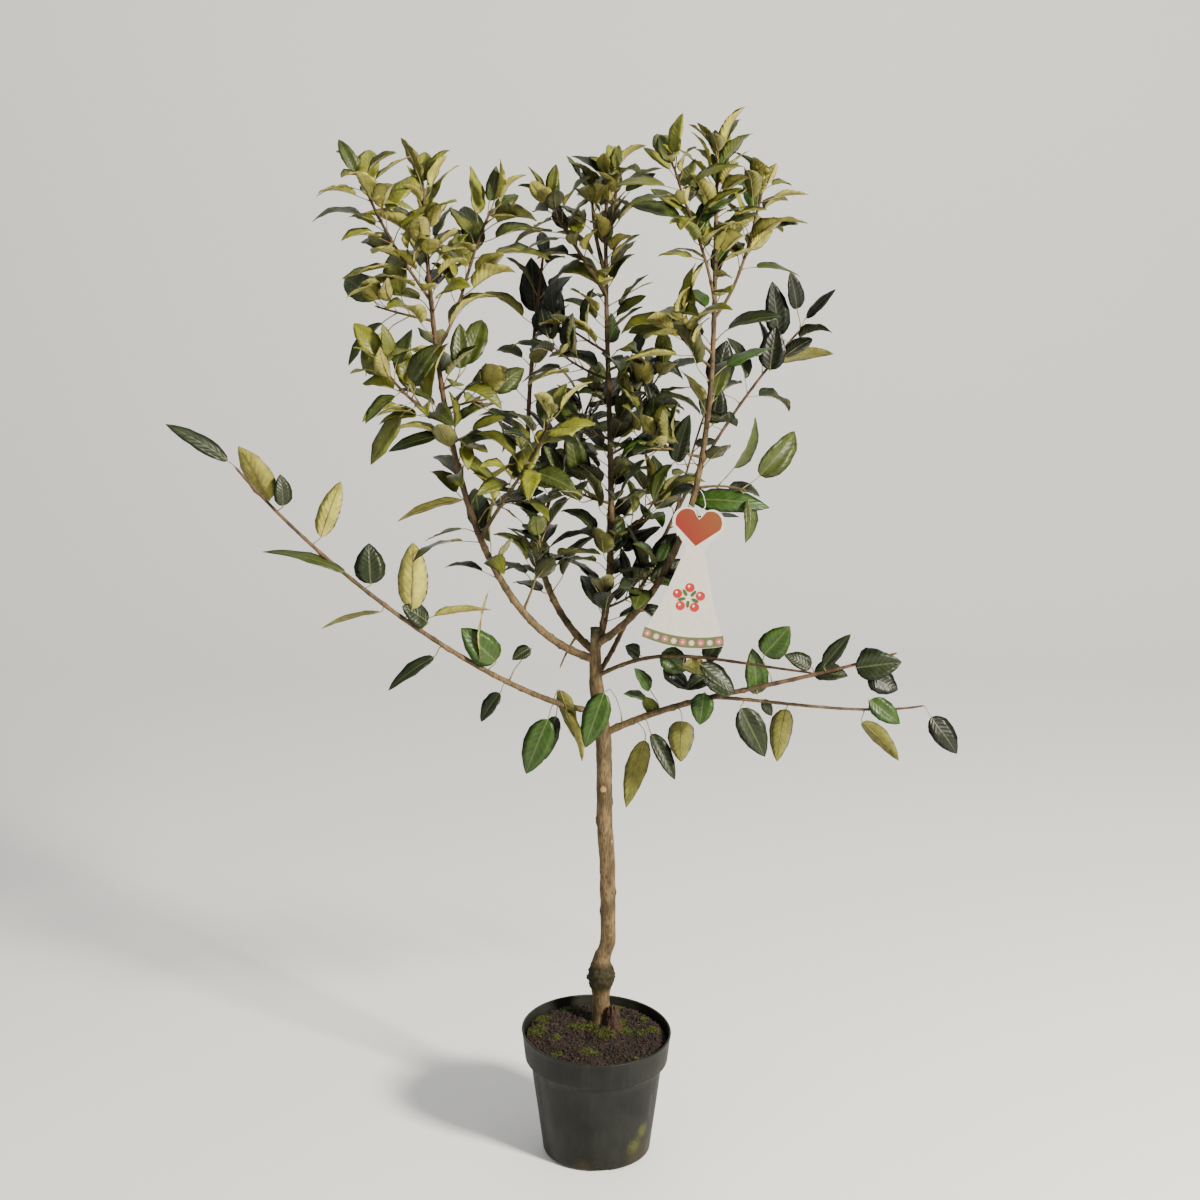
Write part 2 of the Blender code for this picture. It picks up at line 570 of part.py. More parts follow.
def label(finish):
    top, across, up = label_frame()
    half = label_outline()
    flat = half + [(-x, z) for x, z in reversed(half[1:-1])]
    points = []
    for side in (-1, 1):
        for x, z in flat:
            points.append(top + across * x + up * z + Vector((0, side * LABEL_THICKNESS / 2, 0)))
    count = len(flat)
    faces = [tuple(range(count)), tuple(reversed(range(count, 2 * count)))]
    for i in range(count):
        beside = (i + 1) % count
        faces.append((i, i + count, beside + count, beside))
    piece = object_from("hang_label", points, faces, finish)
    hole = top - up * LABEL_HOLE_DROP
    rings = []
    for side in (-1, 1):
        middle = hole + Vector((0, side * LABEL_THICKNESS * 2, 0))
        ring = []
        for step in range(12):
            turn = math.tau * step / 12
            ring.append(middle + LABEL_HOLE_RADIUS * (across * math.cos(turn) + up * math.sin(turn)))
        rings.append(ring)
    cut(piece, cutter(lofted("label_hole", rings)))
    return hole


def label_tie(finish, hole):
    """A closed loop of thin string, through the label's hole and slanting up behind the right bough."""
    low = hole + Vector((0, 0, LABEL_HOLE_RADIUS - TIE_RADIUS - GAP))
    level = low.z + TIE_RISE
    share = min((i / 400 for i in range(400)), key=lambda s: abs(limb_point("right_bough", s).z - level))
    bough = limb_point("right_bough", share)
    room = limb_radius("right_bough", share) + TIE_RADIUS + GAP
    depth = bough.y + room - low.y
    centres = []
    for number in range(TIE_TURNS):
        turn = math.tau * number / TIE_TURNS
        up = (1 - math.cos(turn)) / 2
        sideways = math.sin(turn) * room * TIE_WIDTH * smooth_share(0.05, 0.45, up)
        through = math.sin(turn) * TIE_BEND * (1 - smooth_share(0.40, 0.80, up))
        back = smooth_share(0.35, 1.0, up)
        shift = Vector((bough.x - low.x, 0, 0)) * smooth_share(0.0, 0.6, up)
        centres.append(low + shift + Vector((sideways, depth * back - through, up * TIE_RISE)))
    middle = sum(centres, Vector()) / TIE_TURNS
    points, faces = [], []
    for number, centre in enumerate(centres):
        along = (centres[(number + 1) % TIE_TURNS] - centres[number - 1]).normalized()
        out = (centre - middle - along * (centre - middle).dot(along)).normalized()
        beside = along.cross(out)
        for side in range(TIE_SIDES):
            spin = math.tau * side / TIE_SIDES
            points.append(centre + TIE_RADIUS * (out * math.cos(spin) + beside * math.sin(spin)))
    total = TIE_TURNS * TIE_SIDES
    for ring in range(TIE_TURNS):
        for side in range(TIE_SIDES):
            here = ring * TIE_SIDES + side
            next_side = ring * TIE_SIDES + (side + 1) % TIE_SIDES
            faces.append((here, (here + TIE_SIDES) % total, (next_side + TIE_SIDES) % total, next_side))
    return object_from("label_tie", points, faces, finish)


def build():
    clear_scene()
    plastic = material("pot_plastic", (0.060, 0.068, 0.062), 0.55)
    compost = material("compost", (0.045, 0.028, 0.018), 0.95)
    bark = material("bark", (0.235, 0.165, 0.085), 0.75)
    dead_wood = material("dead_wood", (0.19, 0.085, 0.05), 0.85)
    leaf = material("leaf", (0.095, 0.145, 0.040), 0.60)
    card = material("label_card", (0.80, 0.78, 0.75), 0.40)
    string = material("label_string", (0.75, 0.75, 0.72), 0.50)

    pot(plastic)
    ground = soil(compost)
    stem = lofted("trunk", trunk_rings(0), bark)
    shade_round(stem)
    stem_room = cutter(lofted("trunk_room", trunk_rings(GAP)))
    cut(ground, stem_room)
    cut(ground, stub_room(old_stub(dead_wood, stem_room)))

    rooms = [stem_room]
    for name in LIMBS:
        piece = limb(name, bark)
        for room in rooms:
            if boxes_meet(piece, room):
                cut(piece, room)
        shade_round(piece)
        rooms.append(cutter(limb(name, None, GAP)))

    hole = label(card)
    label_tie(string, hole)
    for number, name in enumerate(MASSES):
        piece = mass(name, leaf, number)
        for room in rooms:
            if boxes_meet(piece, room):
                cut(piece, room)
        shade_round(piece)
        rooms.append(cutter(mass(name, None, number, MASS_GROW)))


build()
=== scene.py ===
import json
import math
import random

import bmesh
import bpy
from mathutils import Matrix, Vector, noise

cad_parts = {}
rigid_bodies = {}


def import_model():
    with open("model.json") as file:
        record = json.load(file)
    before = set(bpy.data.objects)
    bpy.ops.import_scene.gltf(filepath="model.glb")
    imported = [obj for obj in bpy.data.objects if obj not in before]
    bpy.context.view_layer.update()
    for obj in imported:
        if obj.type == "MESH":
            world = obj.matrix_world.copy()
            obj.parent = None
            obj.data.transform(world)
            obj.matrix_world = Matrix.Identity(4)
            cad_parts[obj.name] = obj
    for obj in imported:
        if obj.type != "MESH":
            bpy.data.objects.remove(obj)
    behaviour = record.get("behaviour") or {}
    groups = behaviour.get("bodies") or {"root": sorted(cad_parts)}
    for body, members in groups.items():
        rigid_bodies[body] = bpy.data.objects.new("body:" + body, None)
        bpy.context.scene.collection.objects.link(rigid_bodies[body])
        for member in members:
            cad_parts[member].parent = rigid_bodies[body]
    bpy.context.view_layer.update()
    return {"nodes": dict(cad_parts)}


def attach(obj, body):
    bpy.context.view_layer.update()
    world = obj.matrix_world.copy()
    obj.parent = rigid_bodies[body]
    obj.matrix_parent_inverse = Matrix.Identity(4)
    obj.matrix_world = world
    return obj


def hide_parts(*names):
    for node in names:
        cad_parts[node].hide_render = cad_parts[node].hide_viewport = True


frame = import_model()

# The view
# The photo is taken from 3 m in front of the pot, just below the height of the tree's top and
# looking slightly down. Places picked from the photo become metres through this same view.
PHOTO_SIDE = 1200
FOCAL_PIXELS = 2068
CAMERA_PLACE = Vector((0.0055, -3.0, 1.53))
LOOK_DOWN = math.radians(12.2)
SENSOR_WIDTH = 36.0

view_data = bpy.data.cameras.new("view")
view_data.sensor_width = SENSOR_WIDTH
view_data.lens = FOCAL_PIXELS / PHOTO_SIDE * SENSOR_WIDTH
view = bpy.data.objects.new("view", view_data)
view.location = CAMERA_PLACE
view.rotation_euler = (math.pi / 2 - LOOK_DOWN, 0, 0)
bpy.context.scene.collection.objects.link(view)
bpy.context.scene.camera = view


def seen(column, row, depth):
    """The place that shows at a photo pixel, at a given distance behind the pot's middle."""
    across = column - PHOTO_SIDE / 2
    above = PHOTO_SIDE / 2 - row
    sight = Vector((across,
                    FOCAL_PIXELS * math.cos(LOOK_DOWN) + above * math.sin(LOOK_DOWN),
                    above * math.cos(LOOK_DOWN) - FOCAL_PIXELS * math.sin(LOOK_DOWN)))
    return CAMERA_PLACE + sight * ((depth - CAMERA_PLACE.y) / sight.y)


# The pot
# A 23 cm round nursery pot, blow-moulded in thin matt grey-green plastic, with a plain collar, a
# rounded foot and four drain notches. It is soft, so its rim sinks to the front and the right.
POT_HEIGHT = 0.200
POT_RIM_RADIUS = 0.1158
POT_COLLAR_FOOT_RADIUS = 0.1105
POT_COLLAR_HEIGHT = 0.044
POT_STEP = 0.009
POT_BODY_TOP_RADIUS = 0.1015
POT_BASE_RADIUS = 0.0840
POT_BASE_ROUNDING = 0.0090
POT_WALL = 0.0022
POT_LIP = 0.0032
POT_SIDES = 160
POT_RIM_FALL_TO_FRONT = 0.075
POT_RIM_FALL_TO_RIGHT = 0.035
POT_OUT_OF_ROUND = 0.0005
NOTCH_COUNT = 4
NOTCH_WIDTH = 0.032
NOTCH_HEIGHT = 0.0055
NOTCH_DEPTH = 0.020
NOTCH_HEADING = -83
PLASTIC_DARK = (0.0030, 0.0036, 0.0030, 1)
PLASTIC_LIGHT = (0.0105, 0.0120, 0.0098, 1)
PLASTIC_DUST = (0.040, 0.041, 0.032, 1)
ALGAE_BRIGHT = (0.060, 0.062, 0.007, 1)
ALGAE_BROWN = (0.026, 0.021, 0.006, 1)
ALGAE_PATCHES = (
    dict(place=(0.060, -0.066, 0.034), reach=0.022, colour=ALGAE_BRIGHT),
    dict(place=(0.072, -0.056, 0.056), reach=0.020, colour=ALGAE_BRIGHT),
    dict(place=(0.058, -0.066, 0.012), reach=0.024, colour=ALGAE_BROWN),
    dict(place=(0.074, -0.048, 0.020), reach=0.030, colour=ALGAE_BROWN),
    dict(place=(-0.022, -0.083, 0.008), reach=0.022, colour=ALGAE_BROWN),
    dict(place=(0.020, 0.088, 0.020), reach=0.034, colour=ALGAE_BROWN),
)


def smooth_share(low, high, value):
    share = min(max((value - low) / (high - low), 0), 1)
    return share * share * (3 - 2 * share)


def bridge_rings(count, sides):
    """Side faces between rings of equal size, numbered ring after ring."""
    faces = []
    for ring in range(count - 1):
        for side in range(sides):
            here, beside = ring * sides + side, ring * sides + (side + 1) % sides
            faces.append((here, beside, beside + sides, here + sides))
    return faces


def close_ends(faces, sides, foot, first_ring, top, last_ring):
    """Closes a tube of rings with a fan of faces round a point at its foot and one at its top."""
    for side in range(sides):
        beside = (side + 1) % sides
        faces.append((foot, first_ring + beside, first_ring + side))
        faces.append((top, last_ring + side, last_ring + beside))


def new_piece(name, points, faces, *finishes):
    mesh = bpy.data.meshes.new(name)
    mesh.from_pydata([tuple(p) for p in points], [], faces)
    mesh.shade_smooth()
    for finish in finishes:
        mesh.materials.append(finish)
    made = bpy.data.objects.new(name, mesh)
    bpy.context.scene.collection.objects.link(made)
    return made


def face_outwards(piece):
    shell = bmesh.new()
    shell.from_mesh(piece.data)
    bmesh.ops.recalc_face_normals(shell, faces=shell.faces)
    shell.to_mesh(piece.data)
    shell.free()
    return piece


def make_plain(piece):
    """Turns a piece and its live modifiers into a plain mesh."""
    ready = piece.evaluated_get(bpy.context.evaluated_depsgraph_get())
    mesh = bpy.data.meshes.new_from_object(ready)
    piece.modifiers.clear()
    piece.data = mesh
    return piece


def cut_away(piece, name, block):
    """Takes a block's shape out of a piece with a live modifier."""
    taken = piece.modifiers.new(name, "BOOLEAN")
    taken.operation = "DIFFERENCE"
    taken.solver = "EXACT"
    taken.object = block


def settle(piece, slot, *nodes):
    """The piece rides with the plant and takes its place in the frame."""
    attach(piece, "root")
    if nodes:
        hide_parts(*nodes)
    return piece


def put(tree, kind, inputs=None, **settings):
    """Adds a node. An input takes a plain value or another node's output."""
    made = tree.nodes.new(kind)
    for name, value in settings.items():
        setattr(made, name, value)
    for name, value in (inputs or {}).items():
        if isinstance(value, bpy.types.NodeSocket):
            tree.links.new(value, made.inputs[name])
        else:
            made.inputs[name].default_value = value
    return made


def new_material(name):
    made = bpy.data.materials.new(name)
    made.use_nodes = True
    return made, made.node_tree, made.node_tree.nodes["Principled BSDF"]


def object_place(tree):
    return put(tree, "ShaderNodeTexCoord").outputs["Object"]


def stretched(tree, place, scale):
    return put(tree, "ShaderNodeMapping", {"Vector": place, "Scale": scale}).outputs[0]


def speckle(tree, place, scale, detail=3.0, roughness=0.55):
    return put(tree, "ShaderNodeTexNoise",
               {"Vector": place, "Scale": scale, "Detail": detail, "Roughness": roughness}).outputs[0]


def between(tree, value, low, high, to_low=0.0, to_high=1.0):
    return put(tree, "ShaderNodeMapRange",
               {"Value": value, "From Min": low, "From Max": high,
                "To Min": to_low, "To Max": to_high}).outputs[0]


def calculate(tree, operation, first, second=0.0):
    return put(tree, "ShaderNodeMath", {0: first, 1: second}, operation=operation).outputs[0]


def blend_colours(tree, share, first, second):
    return put(tree, "ShaderNodeMix", {0: share, 6: first, 7: second}, data_type="RGBA").outputs[2]


def bumped(tree, shader, height, distance, strength=1.0):
    made = put(tree, "ShaderNodeBump", {"Height": height, "Distance": distance, "Strength": strength})
    tree.links.new(made.outputs["Normal"], shader.inputs["Normal"])


def new_group(name, inputs, outputs):
    """A shader node group with named sockets, ready to be filled."""
    group = bpy.data.node_groups.new(name, "ShaderNodeTree")
    for label, kind, start in inputs:
        socket = group.interface.new_socket(name=label, in_out="INPUT", socket_type=kind)
        socket.default_value = start
    for label, kind in outputs:
        group.interface.new_socket(name=label, in_out="OUTPUT", socket_type=kind)
    return group, group.nodes.new("NodeGroupInput").outputs, group.nodes.new("NodeGroupOutput").inputs


patch_group, given, result = new_group(
    "ragged_patch",
    (("Place", "NodeSocketVector", (0, 0, 0)), ("Middle", "NodeSocketVector", (0, 0, 0)),
     ("Reach", "NodeSocketFloat", 0.02), ("Grain", "NodeSocketFloat", 120.0)),
    (("Mask", "NodeSocketFloat"),))
apart = put(patch_group, "ShaderNodeVectorMath", {0: given["Place"], 1: given["Middle"]},
            operation="DISTANCE").outputs["Value"]
nearness = calculate(patch_group, "SUBTRACT", 1.0, calculate(patch_group, "DIVIDE", apart, given["Reach"]))
torn = speckle(patch_group, given["Place"], given["Grain"], 5.0, 0.7)
spread = calculate(patch_group, "ADD", nearness, calculate(patch_group, "MULTIPLY", torn, 1.6))
mask = between(patch_group, spread, 1.05, 1.55)
patch_group.links.new(mask, result["Mask"])


def ragged_patch(tree, place, middle, reach, grain=260.0):
    made = put(tree, "ShaderNodeGroup", node_tree=patch_group)
    tree.links.new(place, made.inputs["Place"])
    made.inputs["Middle"].default_value = middle
    made.inputs["Reach"].default_value = reach
    made.inputs["Grain"].default_value = grain
    return made.outputs["Mask"]


def pot_tilt(point):
    x, y, z = point
    share = max(z, 0) / POT_HEIGHT
    return Vector((x, y, z + share ** 1.5 * (POT_RIM_FALL_TO_FRONT * y - POT_RIM_FALL_TO_RIGHT * x)))


def pot_profile():
    """Radius and height from the middle of the underside, up the outside and down the inside."""
    collar_foot = POT_HEIGHT - POT_COLLAR_HEIGHT
    points = [(POT_BASE_RADIUS * 0.45, 0.0), (POT_BASE_RADIUS * 0.75, 0.0)]
    for step in range(9):
        turn = math.radians(90 * step / 8)
        points.append((POT_BASE_RADIUS - POT_BASE_ROUNDING * (1 - math.sin(turn)),
                       POT_BASE_ROUNDING * (1 - math.cos(turn))))
    for step in range(1, 13):
        share = step / 12
        points.append((POT_BASE_RADIUS + (POT_BODY_TOP_RADIUS - POT_BASE_RADIUS) * share,
                       POT_BASE_ROUNDING + (collar_foot - POT_STEP - POT_BASE_ROUNDING) * share))
    step_out = POT_COLLAR_FOOT_RADIUS - POT_BODY_TOP_RADIUS
    for share, rise in ((0.12, 0.16), (0.50, 0.52), (0.86, 0.82), (0.97, 0.93), (1.0, 1.06), (1.01, 1.3)):
        points.append((POT_BODY_TOP_RADIUS + step_out * share, collar_foot - POT_STEP + POT_STEP * rise))
    bead = POT_LIP / 2
    for step in range(1, 6):
        share = step / 6
        points.append((POT_COLLAR_FOOT_RADIUS + (POT_RIM_RADIUS - POT_COLLAR_FOOT_RADIUS - 0.0007) * share,
                       collar_foot + (POT_COLLAR_HEIGHT - POT_LIP) * share))
    for step in range(9):
        turn = math.radians(-35 + 250 * step / 8)
        points.append((POT_RIM_RADIUS - bead + bead * math.cos(turn),
                       POT_HEIGHT - bead + bead * math.sin(turn)))
    for share in (0.15, 0.5, 1.0):
        points.append((POT_RIM_RADIUS - POT_WALL + (POT_COLLAR_FOOT_RADIUS - POT_RIM_RADIUS) * share,
                       POT_HEIGHT - POT_LIP - (POT_COLLAR_HEIGHT - POT_LIP) * share))
    points.append((POT_BODY_TOP_RADIUS - POT_WALL, collar_foot - POT_STEP))
    points.append((POT_BASE_RADIUS - POT_WALL, POT_BASE_ROUNDING))
    points.append((POT_BASE_RADIUS - POT_BASE_ROUNDING, POT_WALL))
    return points


def pot_mesh(finish):
    points = [Vector((0, 0, 0))]
    profile = pot_profile()
    for radius, height in profile:
        for side in range(POT_SIDES):
            turn = math.tau * side / POT_SIDES
            free = smooth_share(0.01, 0.15, height) * POT_OUT_OF_ROUND
            wide = radius + free * (math.sin(2 * turn + 0.6) + 0.5 * math.sin(3 * turn + height * 30))
            points.append(pot_tilt((wide * math.cos(turn), wide * math.sin(turn), height)))
    points.append(Vector((0, 0, POT_WALL)))
    faces = [tuple(i + 1 for i in face) for face in bridge_rings(len(profile), POT_SIDES)]
    last = len(points) - 1
    close_ends(faces, POT_SIDES, 0, 1, last, last - POT_SIDES)
    piece = face_outwards(new_piece("nursery_pot", points, faces, finish))
    cutters = []
    for number in range(NOTCH_COUNT):
        heading = math.radians(NOTCH_HEADING + 360 * number / NOTCH_COUNT)
        along = Vector((math.cos(heading), math.sin(heading), 0))
        across = Vector((-along.y, along.x, 0))
        corners = []
        for height, width in ((-0.004, NOTCH_WIDTH * 1.2), (NOTCH_HEIGHT, NOTCH_WIDTH * 0.8)):
            for out, side in ((0, -1), (1, -1), (1, 1), (0, 1)):
                reach = POT_BASE_RADIUS - NOTCH_DEPTH + out * NOTCH_DEPTH * 2
                corners.append(along * reach + across * side * width / 2 + Vector((0, 0, height)))
        block = face_outwards(new_piece(
            "notch_block", corners,
            [(3, 2, 1, 0), (4, 5, 6, 7), (0, 1, 5, 4), (1, 2, 6, 5), (2, 3, 7, 6), (3, 0, 4, 7)]))
        cut_away(piece, "notch", block)
        cutters.append(block)
    make_plain(piece)
    piece.data.set_sharp_from_angle(angle=math.radians(40))
    for block in cutters:
        bpy.data.objects.remove(block)
    return piece


def pot_plastic():
    made, tree, shader = new_material("pot_plastic")
    place = object_place(tree)
    streaks = speckle(tree, stretched(tree, place, (1, 1, 0.16)), 75.0, 4.0)
    clouds = speckle(tree, place, 14.0, 3.0)
    colour = blend_colours(tree, between(tree, clouds, 0.35, 0.68), PLASTIC_DARK, PLASTIC_LIGHT)
    dusty = between(tree, streaks, 0.52, 0.78, 0.0, 0.30)
    colour = blend_colours(tree, dusty, colour, PLASTIC_DUST)
    height = put(tree, "ShaderNodeSeparateXYZ", {0: place}).outputs["Z"]
    rim = between(tree, height, POT_HEIGHT - 0.012, POT_HEIGHT + 0.002, 0.0, 0.40)
    colour = blend_colours(tree, rim, colour, PLASTIC_DUST)
    splash = calculate(tree, "MULTIPLY", between(tree, height, 0.055, 0.004),
                       between(tree, speckle(tree, place, 160.0, 5.0, 0.7), 0.50, 0.66, 0.0, 0.55))
    colour = blend_colours(tree, splash, colour, ALGAE_BROWN)
    for patch in ALGAE_PATCHES:
        mask = ragged_patch(tree, place, patch["place"], patch["reach"])
        colour = blend_colours(tree, calculate(tree, "MULTIPLY", mask, 0.75), colour, patch["colour"])
    specks = between(tree, speckle(tree, place, 520.0, 2.0, 0.5), 0.72, 0.78, 0.0, 0.5)
    colour = blend_colours(tree, specks, colour, PLASTIC_DUST)
    tree.links.new(colour, shader.inputs["Base Color"])
    tree.links.new(between(tree, streaks, 0.3, 0.7, 0.44, 0.64), shader.inputs["Roughness"])
    shader.inputs["Specular IOR Level"].default_value = 0.22
    grain = speckle(tree, place, 900.0, 2.0)
    dents = speckle(tree, place, 30.0, 2.0)
    bumped(tree, shader, calculate(tree, "ADD", calculate(tree, "MULTIPLY", grain, 0.12), dents), 0.0009)
    return made


settle(pot_mesh(pot_plastic()), "pot_plastic", "pot")

# The compost
# Damp bark compost that fills the pot to an uneven level just under the lip, strewn with crumbs of
# bark, reddish fibres and pale chips, with small tufts of bright moss that have grown on top.
SOIL_LEVEL = 0.187
SOIL_EDGE = POT_COLLAR_FOOT_RADIUS - POT_WALL - 0.0007
SOIL_RINGS = 46
SOIL_SIDES = 132
SOIL_SKIRT = 0.014
COMPOST_DARK = (0.0018, 0.0010, 0.0006, 1)
COMPOST_BROWN = (0.008, 0.0045, 0.0024, 1)
CRUMB_DARK = (0.0026, 0.0014, 0.0008, 1)
CRUMB_BROWN = (0.024, 0.011, 0.0055, 1)
FIBRE_RED = (0.080, 0.030, 0.014, 1)
CHIP_PALE = (0.360, 0.240, 0.120, 1)
MOSS_DARK = (0.008, 0.017, 0.002, 1)
MOSS_BRIGHT = (0.110, 0.135, 0.008, 1)
MOSS_TUFTS = (
    (-0.045, 0.085, 0.009), (-0.086, 0.050, 0.014), (-0.094, 0.012, 0.014), (-0.030, 0.027, 0.013),
    (-0.007, 0.030, 0.010), (0.012, 0.004, 0.015), (0.040, 0.050, 0.009), (0.046, 0.022, 0.013),
    (0.068, 0.014, 0.008), (0.088, 0.018, 0.009), (-0.010, -0.056, 0.013), (0.066, -0.076, 0.009),
    (-0.060, -0.060, 0.008), (0.030, 0.090, 0.010), (0.075, 0.060, 0.008), (-0.062, -0.010, 0.008),
)
STREWN = (
    dict(name="bark_crumbs", bit="crumb", density=70000, seed=1, size=(0.0018, 0.0085), lean=1.5,
         where="bare", dark=CRUMB_DARK, light=CRUMB_BROWN),
    dict(name="bark_fibres", bit="fibre", density=40000, seed=2, size=(0.0050, 0.0150), lean=0.6,
         where="bare", dark=CRUMB_BROWN, light=FIBRE_RED),
    dict(name="pale_chips", bit="chip", density=3800, seed=3, size=(0.0026, 0.0066), lean=0.7,
         where="bare", dark=FIBRE_RED, light=CHIP_PALE),
    dict(name="moss", bit="frond", density=330000, seed=4, size=(0.0022, 0.0046), lean=0.9,
         where="mossy", dark=MOSS_DARK, light=MOSS_BRIGHT),
)


def soil_rise(x, y):
    """Height of the compost above its even level, in lumps of a few millimetres."""
    here = Vector((x, y, 0))
    rise = 0.0060 * (noise.noise(here * 28)) + 0.0036 * noise.noise(here * 95 + Vector((3, 0, 0)))
    rise += 0.0020 * noise.noise(here * 260)
    mound = math.exp(-((x - 0.012) ** 2 + (y - 0.036) ** 2) / 0.030 ** 2)
    edge = smooth_share(SOIL_EDGE, SOIL_EDGE - 0.012, math.hypot(x, y))
    return (rise + 0.003 * mound) * edge - 0.0015 * (1 - edge)


def compost_surface(finish):
    points = [pot_tilt((0, 0, SOIL_LEVEL + soil_rise(0, 0)))]
    for ring in range(1, SOIL_RINGS + 1):
        radius = SOIL_EDGE * ring / SOIL_RINGS
        for side in range(SOIL_SIDES):
            turn = math.tau * side / SOIL_SIDES
            x, y = radius * math.cos(turn), radius * math.sin(turn)
            points.append(pot_tilt((x, y, SOIL_LEVEL + soil_rise(x, y))))
    for side in range(SOIL_SIDES):
        turn = math.tau * side / SOIL_SIDES
        wide = SOIL_EDGE - 0.002
        points.append(pot_tilt((wide * math.cos(turn), wide * math.sin(turn), SOIL_LEVEL - SOIL_SKIRT)))
    points.append(pot_tilt((0, 0, SOIL_LEVEL - SOIL_SKIRT)))
    faces = [tuple(i + 1 for i in face) for face in bridge_rings(SOIL_RINGS + 1, SOIL_SIDES)]
    last = len(points) - 1
    close_ends(faces, SOIL_SIDES, 0, 1, last, last - SOIL_SIDES)
    piece = face_outwards(new_piece("compost", points, faces, finish))
    mossy = piece.data.attributes.new("mossy", "FLOAT", "POINT")
    bare = piece.data.attributes.new("bare", "FLOAT", "POINT")
    for number, vertex in enumerate(piece.data.vertices):
        x, y, z = vertex.co
        near = max(1 - math.hypot(x - a, y - b) / (reach * 1.25) for a, b, reach in MOSS_TUFTS)
        near += 0.5 * noise.noise(Vector((x, y, 0)) * 150)
        top = z > SOIL_LEVEL - 0.010 - 0.11 * POT_RIM_FALL_TO_FRONT
        mossy.data[number].value = smooth_share(0.05, 0.5, near) if top else 0
        bare.data[number].value = 1 - 0.8 * mossy.data[number].value if top else 0
    return piece


def compost_finish():
    made, tree, shader = new_material("compost")
    place = object_place(tree)
    lumps = speckle(tree, place, 210.0, 6.0, 0.7)
    colour = blend_colours(tree, between(tree, lumps, 0.38, 0.66), COMPOST_DARK, COMPOST_BROWN)
    green = put(tree, "ShaderNodeAttribute", attribute_name="mossy").outputs["Fac"]
    colour = blend_colours(tree, green, colour, MOSS_DARK)
    tree.links.new(colour, shader.inputs["Base Color"])
    tree.links.new(between(tree, lumps, 0.3, 0.7, 0.80, 0.98), shader.inputs["Roughness"])
    bumped(tree, shader, speckle(tree, place, 480.0, 5.0, 0.7), 0.0025)
    return made


def strewn_finish(name, dark, light):
    """A dull finish for small bits, dark and light in patches of a few millimetres."""
    made, tree, shader = new_material(name)
    place = object_place(tree)
    share = between(tree, speckle(tree, place, 330.0, 3.0, 0.6), 0.40, 0.64)
    tree.links.new(blend_colours(tree, share, dark, light), shader.inputs["Base Color"])
    tree.links.new(between(tree, share, 0, 1, 0.95, 0.75), shader.inputs["Roughness"])
    bumped(tree, shader, speckle(tree, place, 1400.0, 3.0), 0.0006)
    return made


def uneven_lump(name, stretch, wobble, seed):
    """A small angular lump of unit size, with few faces."""
    dice = random.Random(seed)
    lump = bmesh.new()
    bmesh.ops.create_icosphere(lump, subdivisions=1, radius=0.5)
    for vertex in lump.verts:
        for axis in range(3):
            vertex.co[axis] *= stretch[axis] * (1 + dice.uniform(-wobble, wobble))
    mesh = bpy.data.meshes.new(name)
    lump.to_mesh(mesh)
    lump.free()
    return bpy.data.objects.new(name, mesh)


def moss_frond(name):
    """A little upright star of pointed moss leaves, each a closed sliver."""
    points, faces = [], []
    for number in range(5):
        turn = math.tau * number / 5
        out = Vector((math.cos(turn), math.sin(turn), 0))
        side = Vector((-out.y, out.x, 0)) * 0.16
        start = len(points)
        points += [Vector(), out * 0.35 + side + Vector((0, 0, 0.45)), out * 0.62 + Vector((0, 0, 1.0)),
                   out * 0.35 - side + Vector((0, 0, 0.45)), out * 0.44 + Vector((0, 0, 0.38))]
        for corners in ((0, 3, 2, 1), (0, 1, 4), (1, 2, 4), (2, 3, 4), (3, 0, 4)):
            faces.append(tuple(start + i for i in corners))
    made = face_outwards(new_piece(name, points, faces))
    bpy.context.scene.collection.objects.unlink(made)
    return made


